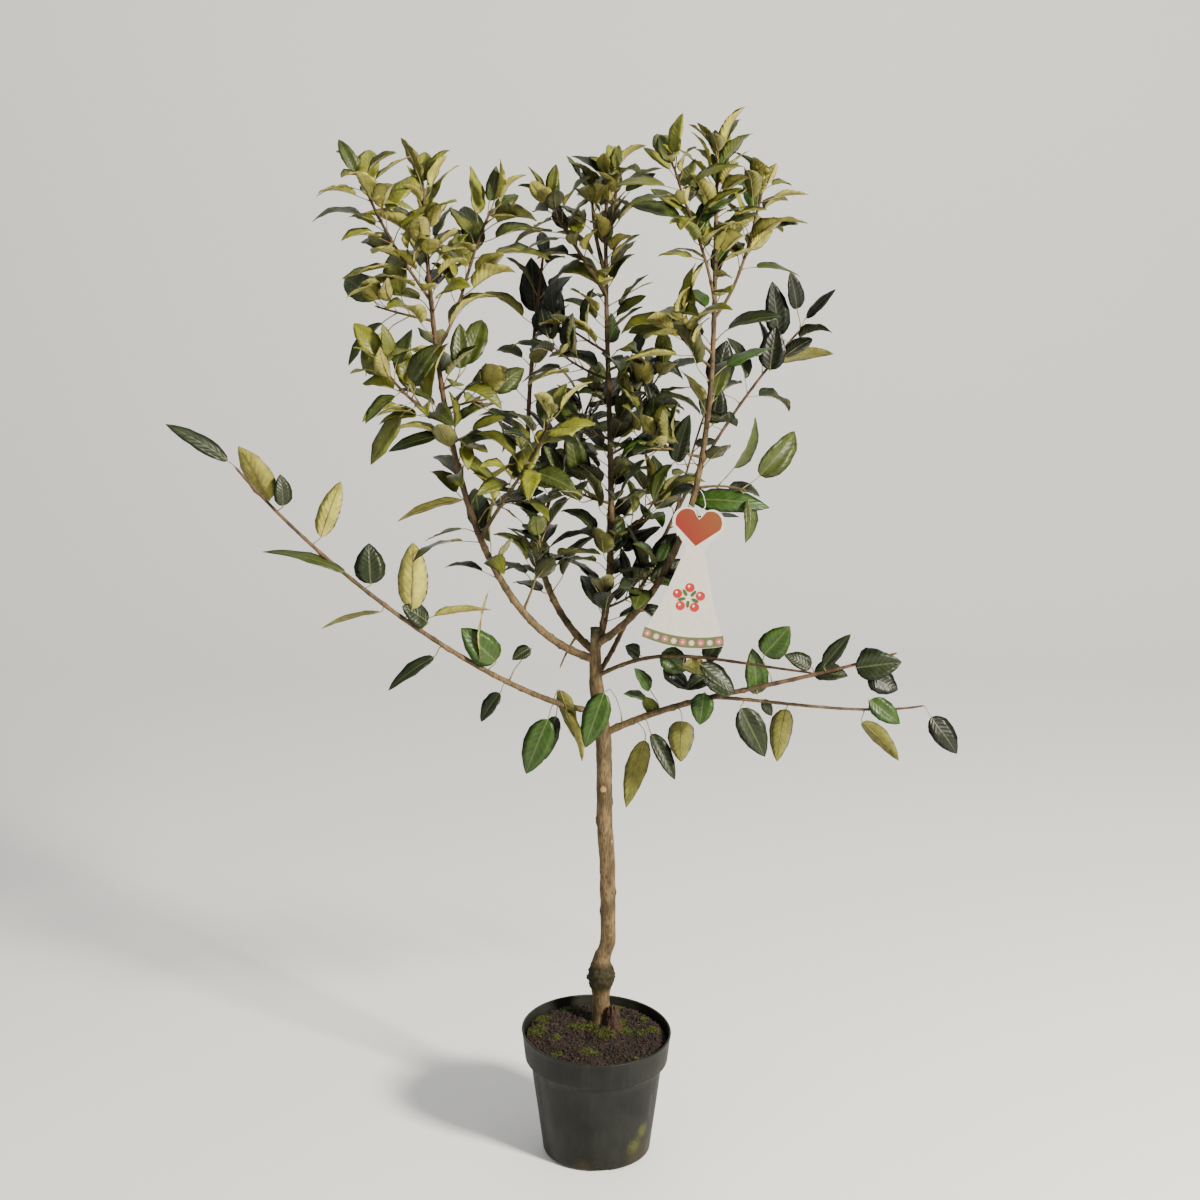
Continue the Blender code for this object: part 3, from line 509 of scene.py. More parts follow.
def strewing_tree():
    """Strews one kind of bit over a surface where an attribute allows it."""
    tree = bpy.data.node_groups.new("strewn_bits", "GeometryNodeTree")
    tree.is_modifier = True
    for label, kind in (("Surface", "NodeSocketGeometry"), ("Bit", "NodeSocketObject"),
                        ("Density", "NodeSocketFloat"), ("Where", "NodeSocketString"),
                        ("Seed", "NodeSocketInt"), ("Smallest", "NodeSocketFloat"),
                        ("Largest", "NodeSocketFloat"), ("Lean", "NodeSocketFloat"),
                        ("Finish", "NodeSocketMaterial")):
        tree.interface.new_socket(name=label, in_out="INPUT", socket_type=kind)
    tree.interface.new_socket(name="Bits", in_out="OUTPUT", socket_type="NodeSocketGeometry")
    given = tree.nodes.new("NodeGroupInput").outputs
    where = put(tree, "GeometryNodeInputNamedAttribute", {"Name": given["Where"]},
                data_type="FLOAT").outputs[0]
    density = put(tree, "ShaderNodeMath", {0: given["Density"], 1: where}, operation="MULTIPLY").outputs[0]
    spots = put(tree, "GeometryNodeDistributePointsOnFaces",
                {"Mesh": given["Surface"], "Density": density, "Seed": given["Seed"]})
    bit = put(tree, "GeometryNodeObjectInfo", {"Object": given["Bit"]}).outputs["Geometry"]
    back = put(tree, "ShaderNodeMath", {0: given["Lean"], 1: -1.0}, operation="MULTIPLY").outputs[0]
    low = put(tree, "ShaderNodeCombineXYZ", {0: back, 1: back, 2: 0.0}).outputs[0]
    high = put(tree, "ShaderNodeCombineXYZ", {0: given["Lean"], 1: given["Lean"], 2: math.tau}).outputs[0]
    turn = put(tree, "FunctionNodeRandomValue", {0: low, 1: high, "Seed": given["Seed"]},
               data_type="FLOAT_VECTOR").outputs[0]
    size = put(tree, "FunctionNodeRandomValue",
               {2: given["Smallest"], 3: given["Largest"], "Seed": given["Seed"]},
               data_type="FLOAT").outputs[1]
    laid = put(tree, "GeometryNodeInstanceOnPoints",
               {"Points": spots.outputs["Points"], "Instance": bit, "Rotation": turn, "Scale": size})
    loose = put(tree, "GeometryNodeRealizeInstances", {0: laid.outputs[0]}).outputs[0]
    finished = put(tree, "GeometryNodeSetMaterial",
                   {"Geometry": loose, "Material": given["Finish"]}).outputs[0]
    tree.links.new(finished, tree.nodes.new("NodeGroupOutput").inputs[0])
    return tree


def strew(tree, surface, row, bit):
    """Runs the strewing tree over a copy of the surface and keeps the bits as a plain mesh."""
    piece = bpy.data.objects.new(row["name"], surface.data.copy())
    bpy.context.scene.collection.objects.link(piece)
    strewing = piece.modifiers.new("strewing", "NODES")
    strewing.node_group = tree
    values = {"Bit": bit, "Density": float(row["density"]), "Where": row["where"], "Seed": row["seed"],
              "Smallest": row["size"][0], "Largest": row["size"][1], "Lean": row["lean"],
              "Finish": strewn_finish(row["name"], row["dark"], row["light"])}
    for item in tree.interface.items_tree:
        if item.name in values:
            strewing[item.identifier] = values[item.name]
    make_plain(piece)
    return piece


compost = compost_surface(compost_finish())
bits = {"crumb": uneven_lump("crumb", (1.0, 0.75, 0.5), 0.30, 5),
        "fibre": uneven_lump("fibre", (1.0, 0.12, 0.10), 0.35, 6),
        "chip": uneven_lump("chip", (1.0, 0.45, 0.16), 0.25, 7),
        "frond": moss_frond("frond")}
strewing = strewing_tree()
for row in STREWN:
    settle(strew(strewing, compost, row, bits[row["bit"]]), "compost")
settle(compost, "compost", "soil")
for bit in bits.values():
    bpy.data.objects.remove(bit)

# The trunk
# A young stem of smooth olive-tan bark, thumb thick, with the cut ends of old side shoots along
# it. It swells and roughens at the graft, a hand's breadth above the compost.
TRUNK_FOOT = (0.0075, 0.046, 0.1895)
TRUNK_TOP = (-0.002, 0.0, 0.838)
TRUNK_SOIL_RADIUS = 0.0135
TRUNK_RADIUS = 0.0122
TRUNK_TOP_RADIUS = 0.0072
TRUNK_FLARE = 0.0035
TRUNK_FLARE_HEIGHT = 0.012
TRUNK_SHOULDER = (0.690, 0.850)
TRUNK_BURIED = 0.006
GRAFT_HEIGHT = 0.272
GRAFT_SWELLING = 0.0085
GRAFT_LENGTH = 0.021
GRAFT_ROUGHNESS = 0.0040
TRUNK_SHIFTS = ((0.290, 0.335, 0.0115), (0.440, 0.540, -0.0045), (0.640, 0.780, -0.0125))
TRUNK_SIDES = 40
TRUNK_STEP = 0.0032
# Heights and headings of the knots left by old side shoots; cut marks one that was pruned clean.
TRUNK_KNOTS = (
    dict(height=0.586, heading=-98, radius=0.0062, rise=0.0022, cut=1.0),
    dict(height=0.563, heading=-8, radius=0.0050, rise=0.0024, cut=0.0),
    dict(height=0.532, heading=190, radius=0.0058, rise=0.0030, cut=0.0),
    dict(height=0.500, heading=-40, radius=0.0038, rise=0.0012, cut=0.9),
    dict(height=0.448, heading=215, radius=0.0046, rise=0.0016, cut=0.2),
    dict(height=0.414, heading=-15, radius=0.0050, rise=0.0022, cut=0.0),
    dict(height=0.383, heading=200, radius=0.0048, rise=0.0022, cut=0.0),
    dict(height=0.345, heading=-70, radius=0.0060, rise=0.0008, cut=0.4),
    dict(height=0.310, heading=186, radius=0.0060, rise=0.0030, cut=0.1),
    dict(height=0.470, heading=80, radius=0.0055, rise=0.0024, cut=0.6),
    dict(height=0.605, heading=60, radius=0.0055, rise=0.0024, cut=0.0),
    dict(height=0.355, heading=95, radius=0.0050, rise=0.0020, cut=0.0),
)
BARK_DARK = (0.016, 0.011, 0.005, 1)
BARK_TAN = (0.075, 0.050, 0.022, 1)
BARK_GOLD = (0.165, 0.110, 0.048, 1)
BARK_YOUNG = (0.022, 0.009, 0.005, 1)
BARK_YOUNG_LIGHT = (0.105, 0.052, 0.026, 1)
BARK_LICHEN = (0.075, 0.076, 0.032, 1)
BARK_SCAR = (0.320, 0.190, 0.080, 1)
GRAFT_DARK = (0.007, 0.005, 0.002, 1)
GRAFT_MOSS = (0.028, 0.026, 0.005, 1)


def trunk_axis(height):
    share = (height - TRUNK_FOOT[2]) / (TRUNK_TOP[2] - TRUNK_FOOT[2])
    shifts = sum(by * smooth_share(low, high, height) for low, high, by in TRUNK_SHIFTS)
    spare = TRUNK_TOP[0] - TRUNK_FOOT[0] - sum(by for low, high, by in TRUNK_SHIFTS)
    x = TRUNK_FOOT[0] + shifts + spare * share
    y = TRUNK_FOOT[1] + (TRUNK_TOP[1] - TRUNK_FOOT[1]) * share
    return Vector((x, y, height))


def trunk_radius(height):
    above = height - TRUNK_FOOT[2]
    even = TRUNK_SOIL_RADIUS + (TRUNK_RADIUS - TRUNK_SOIL_RADIUS) * smooth_share(0.20, 0.34, height)
    even += (TRUNK_TOP_RADIUS - TRUNK_RADIUS) * smooth_share(*TRUNK_SHOULDER, height)
    flare = TRUNK_FLARE * math.exp(-max(above, 0) / TRUNK_FLARE_HEIGHT)
    graft = GRAFT_SWELLING * math.exp(-((height - GRAFT_HEIGHT) / GRAFT_LENGTH) ** 2)
    return even + flare + graft


def set_marks(piece, marks):
    """Stores named values, one for each point of the mesh, for the finish to read."""
    for name, values in marks.items():
        kept = piece.data.attributes.new(name, "FLOAT", "POINT")
        kept.data.foreach_set("value", values)


def trunk_mesh(finish):
    count = round((TRUNK_TOP[2] - TRUNK_FOOT[2] + TRUNK_BURIED) / TRUNK_STEP)
    points, faces = [], bridge_rings(count + 1, TRUNK_SIDES)
    marks = {"scar": [], "rough": [], "youth": []}
    for ring in range(count + 1):
        height = TRUNK_FOOT[2] - TRUNK_BURIED + ring * TRUNK_STEP
        middle = trunk_axis(height)
        for side in range(TRUNK_SIDES):
            turn = math.tau * side / TRUNK_SIDES
            out = Vector((math.cos(turn), math.sin(turn), 0))
            here = middle + out * TRUNK_RADIUS
            radius = trunk_radius(height)
            lumps = 0.0009 * noise.noise(here * 45) + 0.0005 * noise.noise(here * 140)
            furrow = Vector((here.x * 520, here.y * 520, here.z * 60))
            lumps -= 0.0004 * abs(noise.noise(furrow))
            rough = math.exp(-((height - GRAFT_HEIGHT) / (GRAFT_LENGTH * 1.1)) ** 4)
            crust = noise.noise(here * 210) + 0.8 * noise.noise(here * 420)
            lumps += GRAFT_ROUGHNESS * rough * crust
            scar = 0.0
            for knot in TRUNK_KNOTS:
                away = (turn - math.radians(knot["heading"]) + math.pi) % math.tau - math.pi
                far = math.hypot(away * radius, height - knot["height"]) / knot["radius"]
                if far < 3:
                    hollow = 0.75 if knot["cut"] < 0.5 else 0.35
                    lumps += knot["rise"] * (math.exp(-far * far) - hollow * math.exp(-(far / 0.42) ** 2))
                    scar = max(scar, knot["cut"] * smooth_share(0.95, 0.55, far))
                    rough = max(rough, 0.7 * (1 - knot["cut"]) * smooth_share(0.9, 0.3, far))
            points.append(middle + out * (radius + lumps))
            rough = max(rough, 0.8 * smooth_share(TRUNK_TOP[2] - 0.022, TRUNK_TOP[2] - 0.006, height))
            marks["scar"].append(scar)
            marks["rough"].append(rough)
            marks["youth"].append(0.0)
    low, high = len(points), len(points) + 1
    points += [trunk_axis(TRUNK_FOOT[2] - TRUNK_BURIED), trunk_axis(TRUNK_TOP[2] - 0.001)]
    close_ends(faces, TRUNK_SIDES, low, 0, high, low - TRUNK_SIDES)
    for name, value in (("scar", 0.0), ("rough", 0.8), ("youth", 0.0)):
        marks[name] += [value, value]
    piece = new_piece("trunk_bark", points, faces, finish)
    set_marks(piece, marks)
    return face_outwards(piece)


def bark_finish():
    """Bark of the trunk and boughs: tan and smooth when old, red-brown and glossier when young."""
    made, tree, shader = new_material("bark")
    place = object_place(tree)
    clouds = speckle(tree, stretched(tree, place, (1, 1, 0.45)), 62.0, 4.0, 0.6)
    grain = speckle(tree, stretched(tree, place, (1, 1, 0.14)), 620.0, 4.0, 0.6)
    old = blend_colours(tree, between(tree, clouds, 0.42, 0.60), BARK_TAN, BARK_GOLD)
    old = blend_colours(tree, between(tree, grain, 0.46, 0.66, 0.0, 0.85), old, BARK_DARK)
    lichen = between(tree, speckle(tree, place, 95.0, 5.0, 0.7), 0.57, 0.66, 0.0, 0.55)
    old = blend_colours(tree, lichen, old, BARK_LICHEN)
    young = blend_colours(tree, between(tree, clouds, 0.40, 0.70), BARK_YOUNG, BARK_YOUNG_LIGHT)
    pores = between(tree, speckle(tree, stretched(tree, place, (1, 1, 1.6)), 760.0, 1.0, 0.4), 0.67, 0.72)
    young = blend_colours(tree, calculate(tree, "MULTIPLY", pores, 0.6), young, BARK_GOLD)
    youth = put(tree, "ShaderNodeAttribute", attribute_name="youth").outputs["Fac"]
    scar = put(tree, "ShaderNodeAttribute", attribute_name="scar").outputs["Fac"]
    rough = put(tree, "ShaderNodeAttribute", attribute_name="rough").outputs["Fac"]
    colour = blend_colours(tree, youth, old, young)
    crust = blend_colours(tree, between(tree, speckle(tree, place, 230.0, 4.0, 0.7), 0.42, 0.62),
                          GRAFT_DARK, GRAFT_MOSS)
    colour = blend_colours(tree, between(tree, rough, 0.15, 0.75, 0.0, 0.92), colour, crust)
    colour = blend_colours(tree, between(tree, scar, 0.2, 0.8), colour, BARK_SCAR)
    tree.links.new(colour, shader.inputs["Base Color"])
    worn = calculate(tree, "ADD", between(tree, youth, 0, 1, 0.66, 0.46),
                     between(tree, grain, 0.3, 0.7, 0.0, 0.16))
    tree.links.new(worn, shader.inputs["Roughness"])
    shader.inputs["Specular IOR Level"].default_value = 0.28
    relief = calculate(tree, "ADD", calculate(tree, "MULTIPLY", grain, -0.5), clouds)
    bumped(tree, shader, relief, 0.0016)
    return made


bark = bark_finish()
settle(trunk_mesh(bark), "bark", "trunk")

# The old stump
# What is left of the rootstock's first shoot, cut low and now dead: a crumbling red-brown peg in
# front of the trunk's foot, wrapped in matted fibres.
OLD_STUB_PLACE = (0.026, 0.026)
OLD_STUB_HEIGHT = 0.036
OLD_STUB_RADIUS = 0.0115
OLD_STUB_WIDTHS = (1.30, 1.22, 1.05, 0.90, 0.78, 0.55)
OLD_STUB_SIDES = 44
OLD_STUB_RINGS = 26
DEAD_DARK = (0.009, 0.004, 0.0024, 1)
DEAD_RED = (0.078, 0.034, 0.018, 1)


def stump_mesh(finish):
    points, faces = [], bridge_rings(OLD_STUB_RINGS, OLD_STUB_SIDES)
    for ring in range(OLD_STUB_RINGS):
        share = ring / (OLD_STUB_RINGS - 1)
        at = share * (len(OLD_STUB_WIDTHS) - 1)
        low = min(int(at), len(OLD_STUB_WIDTHS) - 2)
        wide = OLD_STUB_WIDTHS[low] + (OLD_STUB_WIDTHS[low + 1] - OLD_STUB_WIDTHS[low]) * (at - low)
        for side in range(OLD_STUB_SIDES):
            turn = math.tau * side / OLD_STUB_SIDES
            out = Vector((math.cos(turn), math.sin(turn), 0))
            fibre = noise.noise(Vector((out.x * 3.2, out.y * 3.2, share * 1.6)))
            knots = noise.noise(Vector((out.x * 9, out.y * 9, share * 9)))
            radius = OLD_STUB_RADIUS * wide * (0.94 + 0.34 * fibre + 0.26 * knots)
            broken = 0.009 * noise.noise(out * 2.1) * smooth_share(0.5, 1.0, share)
            height = TRUNK_FOOT[2] - TRUNK_BURIED + (OLD_STUB_HEIGHT + TRUNK_BURIED) * share + broken
            points.append(Vector((*OLD_STUB_PLACE, height)) + out * radius)
    ends = (TRUNK_FOOT[2] - TRUNK_BURIED, TRUNK_FOOT[2] + OLD_STUB_HEIGHT - 0.0015)
    last = len(points)
    points += [Vector((*OLD_STUB_PLACE, height)) for height in ends]
    close_ends(faces, OLD_STUB_SIDES, last, 0, last + 1, last - OLD_STUB_SIDES)
    return face_outwards(new_piece("old_stump", points, faces, finish))


def dead_wood_finish():
    made, tree, shader = new_material("dead_wood")
    place = object_place(tree)
    fibres = speckle(tree, stretched(tree, place, (1, 1, 0.22)), 700.0, 5.0, 0.7)
    colour = blend_colours(tree, between(tree, fibres, 0.38, 0.66), DEAD_DARK, DEAD_RED)
    tree.links.new(colour, shader.inputs["Base Color"])
    tree.links.new(between(tree, fibres, 0.3, 0.7, 0.82, 0.97), shader.inputs["Roughness"])
    bumped(tree, shader, fibres, 0.0016)
    return made


settle(stump_mesh(dead_wood_finish()), "dead_wood", "old_stub")

# The boughs and shoots
# Each limb leaves its parent at a height on the trunk, or at a share of another limb's length, and
# runs to its tip. Old wood is tan, and the last summer's growth red-brown with a bud at each leaf.
LIMBS = {
    "leader": dict(parent="trunk", at=0.800, tip=(0.015, 0.002, 1.500), leave=(20, 67), arrive=(40, 88),
                   easing=(0.18, 0.42), radii=(0.0082, 0.0022)),
    "left_bough": dict(parent="trunk", at=0.790, tip=(-0.238, -0.098, 1.487), leave=(193, 18),
                       arrive=(110, 84), easing=(0.27, 0.42), radii=(0.0086, 0.0022)),
    "right_bough": dict(parent="trunk", at=0.812, tip=(0.170, -0.062, 1.535), leave=(331, 33),
                        arrive=(60, 84), easing=(0.37, 0.33), radii=(0.0086, 0.0020)),
    "back_left_bough": dict(parent="trunk", at=0.802, tip=(-0.078, 0.117, 1.389), leave=(145, 26),
                            arrive=(320, 80), easing=(0.30, 0.42), radii=(0.0065, 0.0018)),
    "back_right_shoot": dict(parent="trunk", at=0.762, tip=(0.313, 0.194, 1.264), leave=(40, 42),
                             arrive=(15, 46), easing=(0.20, 0.50), radii=(0.0040, 0.0016)),
    "lower_left_lateral": dict(parent="trunk", at=0.708, tip=(-0.505, -0.131, 1.100), leave=(198, 6),
                               arrive=(193, 52), easing=(0.18, 0.38), radii=(0.0048, 0.0018)),
    "lower_right_lateral": dict(parent="trunk", at=0.672, tip=(0.440, -0.060, 0.815), leave=(339, 29),
                                arrive=(358, 17), easing=(0.36, 0.50), radii=(0.0056, 0.0018)),
    "upper_right_lateral": dict(parent="trunk", at=0.762, tip=(0.308, -0.160, 0.810), leave=(335, 32),
                                arrive=(335, -1), easing=(0.35, 0.50), radii=(0.0034, 0.0015)),
    "back_right_lateral": dict(parent="lower_right_lateral", at=0.44, tip=(0.512, 0.130, 0.684),
                               leave=(40, -11), arrive=(24, 3), easing=(0.30, 0.30),
                               radii=(0.0032, 0.0016)),
    "left_outer_fork": dict(parent="left_bough", at=0.83, tip=(-0.316, -0.152, 1.500), leave=(208, 53),
                            arrive=(205, 75), easing=(0.35, 0.25), radii=(0.0036, 0.0018)),
    "left_inner_fork": dict(parent="left_bough", at=0.755, tip=(-0.146, -0.062, 1.452), leave=(21, 51),
                            arrive=(17, 59), easing=(0.30, 0.30), radii=(0.0036, 0.0018)),
    "left_side_shoot": dict(parent="left_bough", at=0.635, tip=(-0.286, -0.174, 1.238), leave=(216, 32),
                            arrive=(223, 51), easing=(0.30, 0.40), radii=(0.0030, 0.0016)),
    "front_left_shoot": dict(parent="left_bough", at=0.42, tip=(-0.062, -0.160, 1.172), leave=(316, 52),
                             arrive=(323, 61), easing=(0.40, 0.40), radii=(0.0030, 0.0016)),
    "back_left_shoot": dict(parent="back_left_bough", at=0.35, tip=(-0.007, 0.125, 1.167), leave=(63, 64),
                            arrive=(0, 67), easing=(0.40, 0.45), radii=(0.0032, 0.0016)),
    "right_inner_fork": dict(parent="right_bough", at=0.73, tip=(0.106, -0.128, 1.512), leave=(222, 78),
                             arrive=(222, 68), easing=(0.40, 0.40), radii=(0.0034, 0.0016)),
    "right_outer_fork": dict(parent="right_bough", at=0.705, tip=(0.235, -0.030, 1.482), leave=(23, 45),
                             arrive=(25, 75), easing=(0.30, 0.30), radii=(0.0036, 0.0018)),
}
ROOT_SHARE = 0.70
LIMB_STEP = 0.0045
LIMB_SIDES = 14
NODE_GAP = 0.026
SPIRAL = math.radians(137.5)
BUD_SWELLING = 0.30
BUD_LENGTH = 0.0032
BUD_REACH = 0.012
COLLAR_LENGTH = 0.008
ROUGH_FOOT_LENGTH = 0.010
STEM_MARKS = 40
NEAREST_STEPS = 300


def heading_vector(heading, rise):
    turn, up = math.radians(heading), math.radians(rise)
    return Vector((math.cos(up) * math.cos(turn), math.cos(up) * math.sin(turn), math.sin(up)))


class Stem:
    """A limb or twig: a smooth curve between two ends, with a thickness at each share of it."""

    def __init__(self, ends, radii, end_share=1.0, spiral_start=0.0):
        self.ends = ends
        self.radii = radii
        self.end_share = end_share
        self.spiral_start = spiral_start
        marks = [self.point(i / STEM_MARKS) for i in range(STEM_MARKS + 1)]
        self.length = sum((b - a).length for a, b in zip(marks, marks[1:]))

    def point(self, share):
        start, leaving, arriving, tip = self.ends
        share = share * self.end_share
        rest = 1 - share
        return (start * rest ** 3 + leaving * 3 * rest ** 2 * share
                + arriving * 3 * rest * share ** 2 + tip * share ** 3)

    def along(self, share):
        low, high = max(share - 0.01, 0), min(share + 0.01, 1)
        return (self.point(high) - self.point(low)).normalized()

    def radius(self, share):
        foot, end = self.radii
        return end + (foot - end) * max(1 - share, 0) ** 0.8

    def nearest(self, place):
        """The share of the stem that shows nearest to a place, seen from the front."""
        return min((i / NEAREST_STEPS for i in range(NEAREST_STEPS + 1)),
                   key=lambda s: math.hypot(self.point(s).x - place.x, self.point(s).z - place.z))

    def outward(self, share, turn):
        """A direction square to the stem, turned round it."""
        along = self.along(share)
        across = Vector((0, 1, 0)) if abs(along.y) < 0.9 else Vector((1, 0, 0))
        across = (across - along * across.dot(along)).normalized()
        return across * math.cos(turn) + along.cross(across) * math.sin(turn)


def limb_ends(start, tip, leave, arrive, easing):
    tip = Vector(tip)
    span = (tip - start).length
    leaving = start + heading_vector(*leave) * span * easing[0]
    return start, leaving, tip - heading_vector(*arrive) * span * easing[1], tip


stems = {}
for name, spec in LIMBS.items():
    if spec["parent"] == "trunk":
        start, thick = trunk_axis(spec["at"]), trunk_radius(spec["at"])
    else:
        parent = stems[spec["parent"]]
        start, thick = parent.point(spec["at"]), parent.radius(spec["at"])
    foot, end = spec["radii"]
    stems[name] = Stem(limb_ends(start, spec["tip"], spec["leave"], spec["arrive"], spec["easing"]),
                       (min(foot, ROOT_SHARE * thick), end), spiral_start=len(stems) * 0.9)


class Wood:
    """Joined tubes of living wood, with the marks that the bark's finish reads."""

    def __init__(self):
        self.points, self.faces = [], []
        self.marks = {"scar": [], "rough": [], "youth": []}

    def add(self, stem, step, sides, youngest, collar=0.20):
        """Sweeps a stem with a bud swelling at each node; youngest is how young its tip is."""
        count = max(6, round(stem.length / step))
        nodes = [(k * NODE_GAP / stem.length, stem.spiral_start + k * SPIRAL)
                 for k in range(1, int(stem.length / NODE_GAP) + 1)]
        across = Vector((0, 1, 0))
        first = len(self.points)
        for ring in range(count + 1):
            share = ring / count
            along = stem.along(share)
            across = (across - along * across.dot(along)).normalized()
            beside = along.cross(across)
            near = [n for n in nodes if abs(n[0] - share) * stem.length < BUD_REACH]
            radius = stem.radius(share)
            radius *= 1 + collar * math.exp(-share * stem.length / COLLAR_LENGTH)
            if ring == count:
                radius *= 0.55
            youth = youngest * smooth_share(0.15, 0.85, share)
            for side in range(sides):
                turn = math.tau * side / sides
                out = across * math.cos(turn) + beside * math.sin(turn)
                here = stem.point(share) + out * radius
                grow = 1 + 0.07 * noise.noise(here * 130) + 0.05 * noise.noise(here * 420)
                rough = 0.55 * math.exp(-share * stem.length / ROUGH_FOOT_LENGTH)
                for at, heading in near:
                    off = (share - at) * stem.length / BUD_LENGTH
                    facing = max(out.dot(stem.outward(at, heading)), 0)
                    bulge = math.exp(-off * off) * (0.35 + 0.65 * facing ** 2)
                    grow += BUD_SWELLING * bulge
                    rough = max(rough, 0.5 * bulge)
                self.points.append(stem.point(share) + out * radius * grow)
                self.marks["scar"].append(0.0)
                self.marks["rough"].append(rough)
                self.marks["youth"].append(youth)
        self.faces += [tuple(i + first for i in face) for face in bridge_rings(count + 1, sides)]
        last = len(self.points)
        self.faces.append(tuple(first + side for side in reversed(range(sides))))
        self.faces.append(tuple(last - sides + side for side in range(sides)))

    def piece(self, name, finish):
        made = face_outwards(new_piece(name, self.points, self.faces, finish))
        set_marks(made, self.marks)
        return made


YOUNG_WOOD = {"leader": 0.75, "left_bough": 0.85, "right_bough": 0.55, "back_left_bough": 0.9,
              "lower_left_lateral": 0.45, "lower_right_lateral": 0.7}
for name, stem in stems.items():
    wood = Wood()
    wood.add(stem, LIMB_STEP, LIMB_SIDES, YOUNG_WOOD.get(name, 0.95))
    settle(wood.piece(name + "_bark", bark), "bark", name)

# The twigs
# Side shoots and short fruiting spurs that are too thin for a piece of their own. Some stand where
# the photo shows them, and the rest carry the sprays of leaves; each ends in a bud.
TWIG_RADII = (0.0019, 0.0012)
ARM_RADII = (0.0032, 0.0017)
SEEN_TWIGS = {
    "leader_left_arm": dict(parent="leader", foot=(598, 296), tip=(552, 208), depth=-0.012,
                            bow=(-0.2, 0.25), radii=ARM_RADII),
    "leader_left_stem": dict(parent="leader", foot=(602, 276), tip=(592, 196), depth=0.014,
                             bow=(-0.3, 0.3), radii=ARM_RADII),
    "leader_right_stem": dict(parent="leader", foot=(609, 236), tip=(617, 178), depth=-0.014,
                              bow=(0.3, 0.3), radii=ARM_RADII),
    "leader_left_twig": dict(parent="leader", foot=(600, 352), tip=(556, 320), depth=0.012, bow=(-0.2, 0.1)),
    "leader_right_twig": dict(parent="leader", foot=(611, 371), tip=(634, 360), depth=-0.014, bow=(0.2, 0.1)),
    "leader_tan_twig": dict(parent="leader", foot=(613, 457), tip=(656, 421), depth=-0.026, bow=(0.3, -0.1)),
    "leader_left_spur": dict(parent="leader", foot=(608, 440), tip=(585, 431), depth=-0.012, bow=(-0.2, 0.1)),
    "leader_right_spur": dict(parent="leader", foot=(610, 422), tip=(631, 404), depth=0.004, bow=(0.3, 0.0)),
    "left_bough_spur": dict(parent="left_bough", foot=(441, 390), tip=(457, 382), depth=-0.112,
                            bow=(0.3, 0.0)),
    "left_bough_low_spur": dict(parent="left_bough", foot=(451, 445), tip=(461, 438), depth=-0.100,
                                bow=(0.3, 0.0)),
    "right_bough_spur": dict(parent="right_bough", foot=(711, 355), tip=(679, 316), depth=-0.106,
                             bow=(-0.2, 0.0)),
    "right_bough_fine_twig": dict(parent="right_bough", foot=(716, 244), tip=(738, 256), depth=-0.090,
                                  bow=(0.2, 0.3)),
    "trunk_thread_left": dict(parent="back_left_bough", foot=(578, 640), tip=(560, 668), depth=-0.018,
                              bow=(-0.2, 0.1)),
}
TWIG_STEP = 0.006
TWIG_SIDES = 8

twigs = Wood()
for name, spec in SEEN_TWIGS.items():
    parent = stems[spec["parent"]]
    at = parent.nearest(seen(*spec["foot"], spec["depth"]))
    start, tip = parent.point(at), seen(*spec["tip"], spec["depth"])
    span = (tip - start).length
    side, up = spec["bow"]
    bow = Vector((side, 0, up)) * span * 0.4
    ends = (start, start.lerp(tip, 0.33) + bow * 0.6, start.lerp(tip, 0.70) + bow * 0.4, tip)
    stems[name] = Stem(ends, spec.get("radii", TWIG_RADII), spiral_start=len(stems) * 1.3)
    twigs.add(stems[name], TWIG_STEP, TWIG_SIDES, 0.9, collar=0.5)

# The leaves
# Leaves of an apple tree: toothed ovals drawn out to a point, folded along the midrib and arched back, glossy
# dark green above and felted pale olive beneath, each on a slim stalk of its own.
# These tones are lit and shaded copies of one leaf colour, for the upper side and the underside: painted
# light in the palest, sunlit tone and painted shade in the darkest ones.
TONES = {
    "sunlit": dict(upper=(0.160, 0.170, 0.016), under=(0.340, 0.315, 0.060)),
    "olive": dict(upper=(0.082, 0.092, 0.010), under=(0.230, 0.212, 0.042)),
    "mid": dict(upper=(0.034, 0.048, 0.006), under=(0.120, 0.118, 0.024)),
    "green": dict(upper=(0.022, 0.056, 0.004), under=(0.080, 0.100, 0.016)),
    "dark": dict(upper=(0.010, 0.018, 0.003), under=(0.042, 0.046, 0.012)),
    "deep_shade": dict(upper=(0.003, 0.006, 0.0015), under=(0.010, 0.014, 0.004)),
}
STALK_PALE = (0.200, 0.195, 0.055, 1)
STALK_RED = (0.110, 0.055, 0.022, 1)
STATIONS = (0.0, 0.04, 0.12, 0.22, 0.33, 0.45, 0.57, 0.68, 0.78, 0.87, 0.95, 1.0)
COLUMNS = (-1.0, -0.5, 0.0, 0.5, 1.0)
BLADE_THICKNESS = 0.00035
TOOTH_DEPTH = 0.022
PUCKER_UP = 0.0007
PUCKER_DOWN = 0.0004
STALK_RADIUS = 0.0008
TUFT_SHARE = 0.985
UPRIGHT = (10, 30)
SPREADING = (42, 62)
CROWN_FRONT = -0.205
CROWN_BACK = 0.215
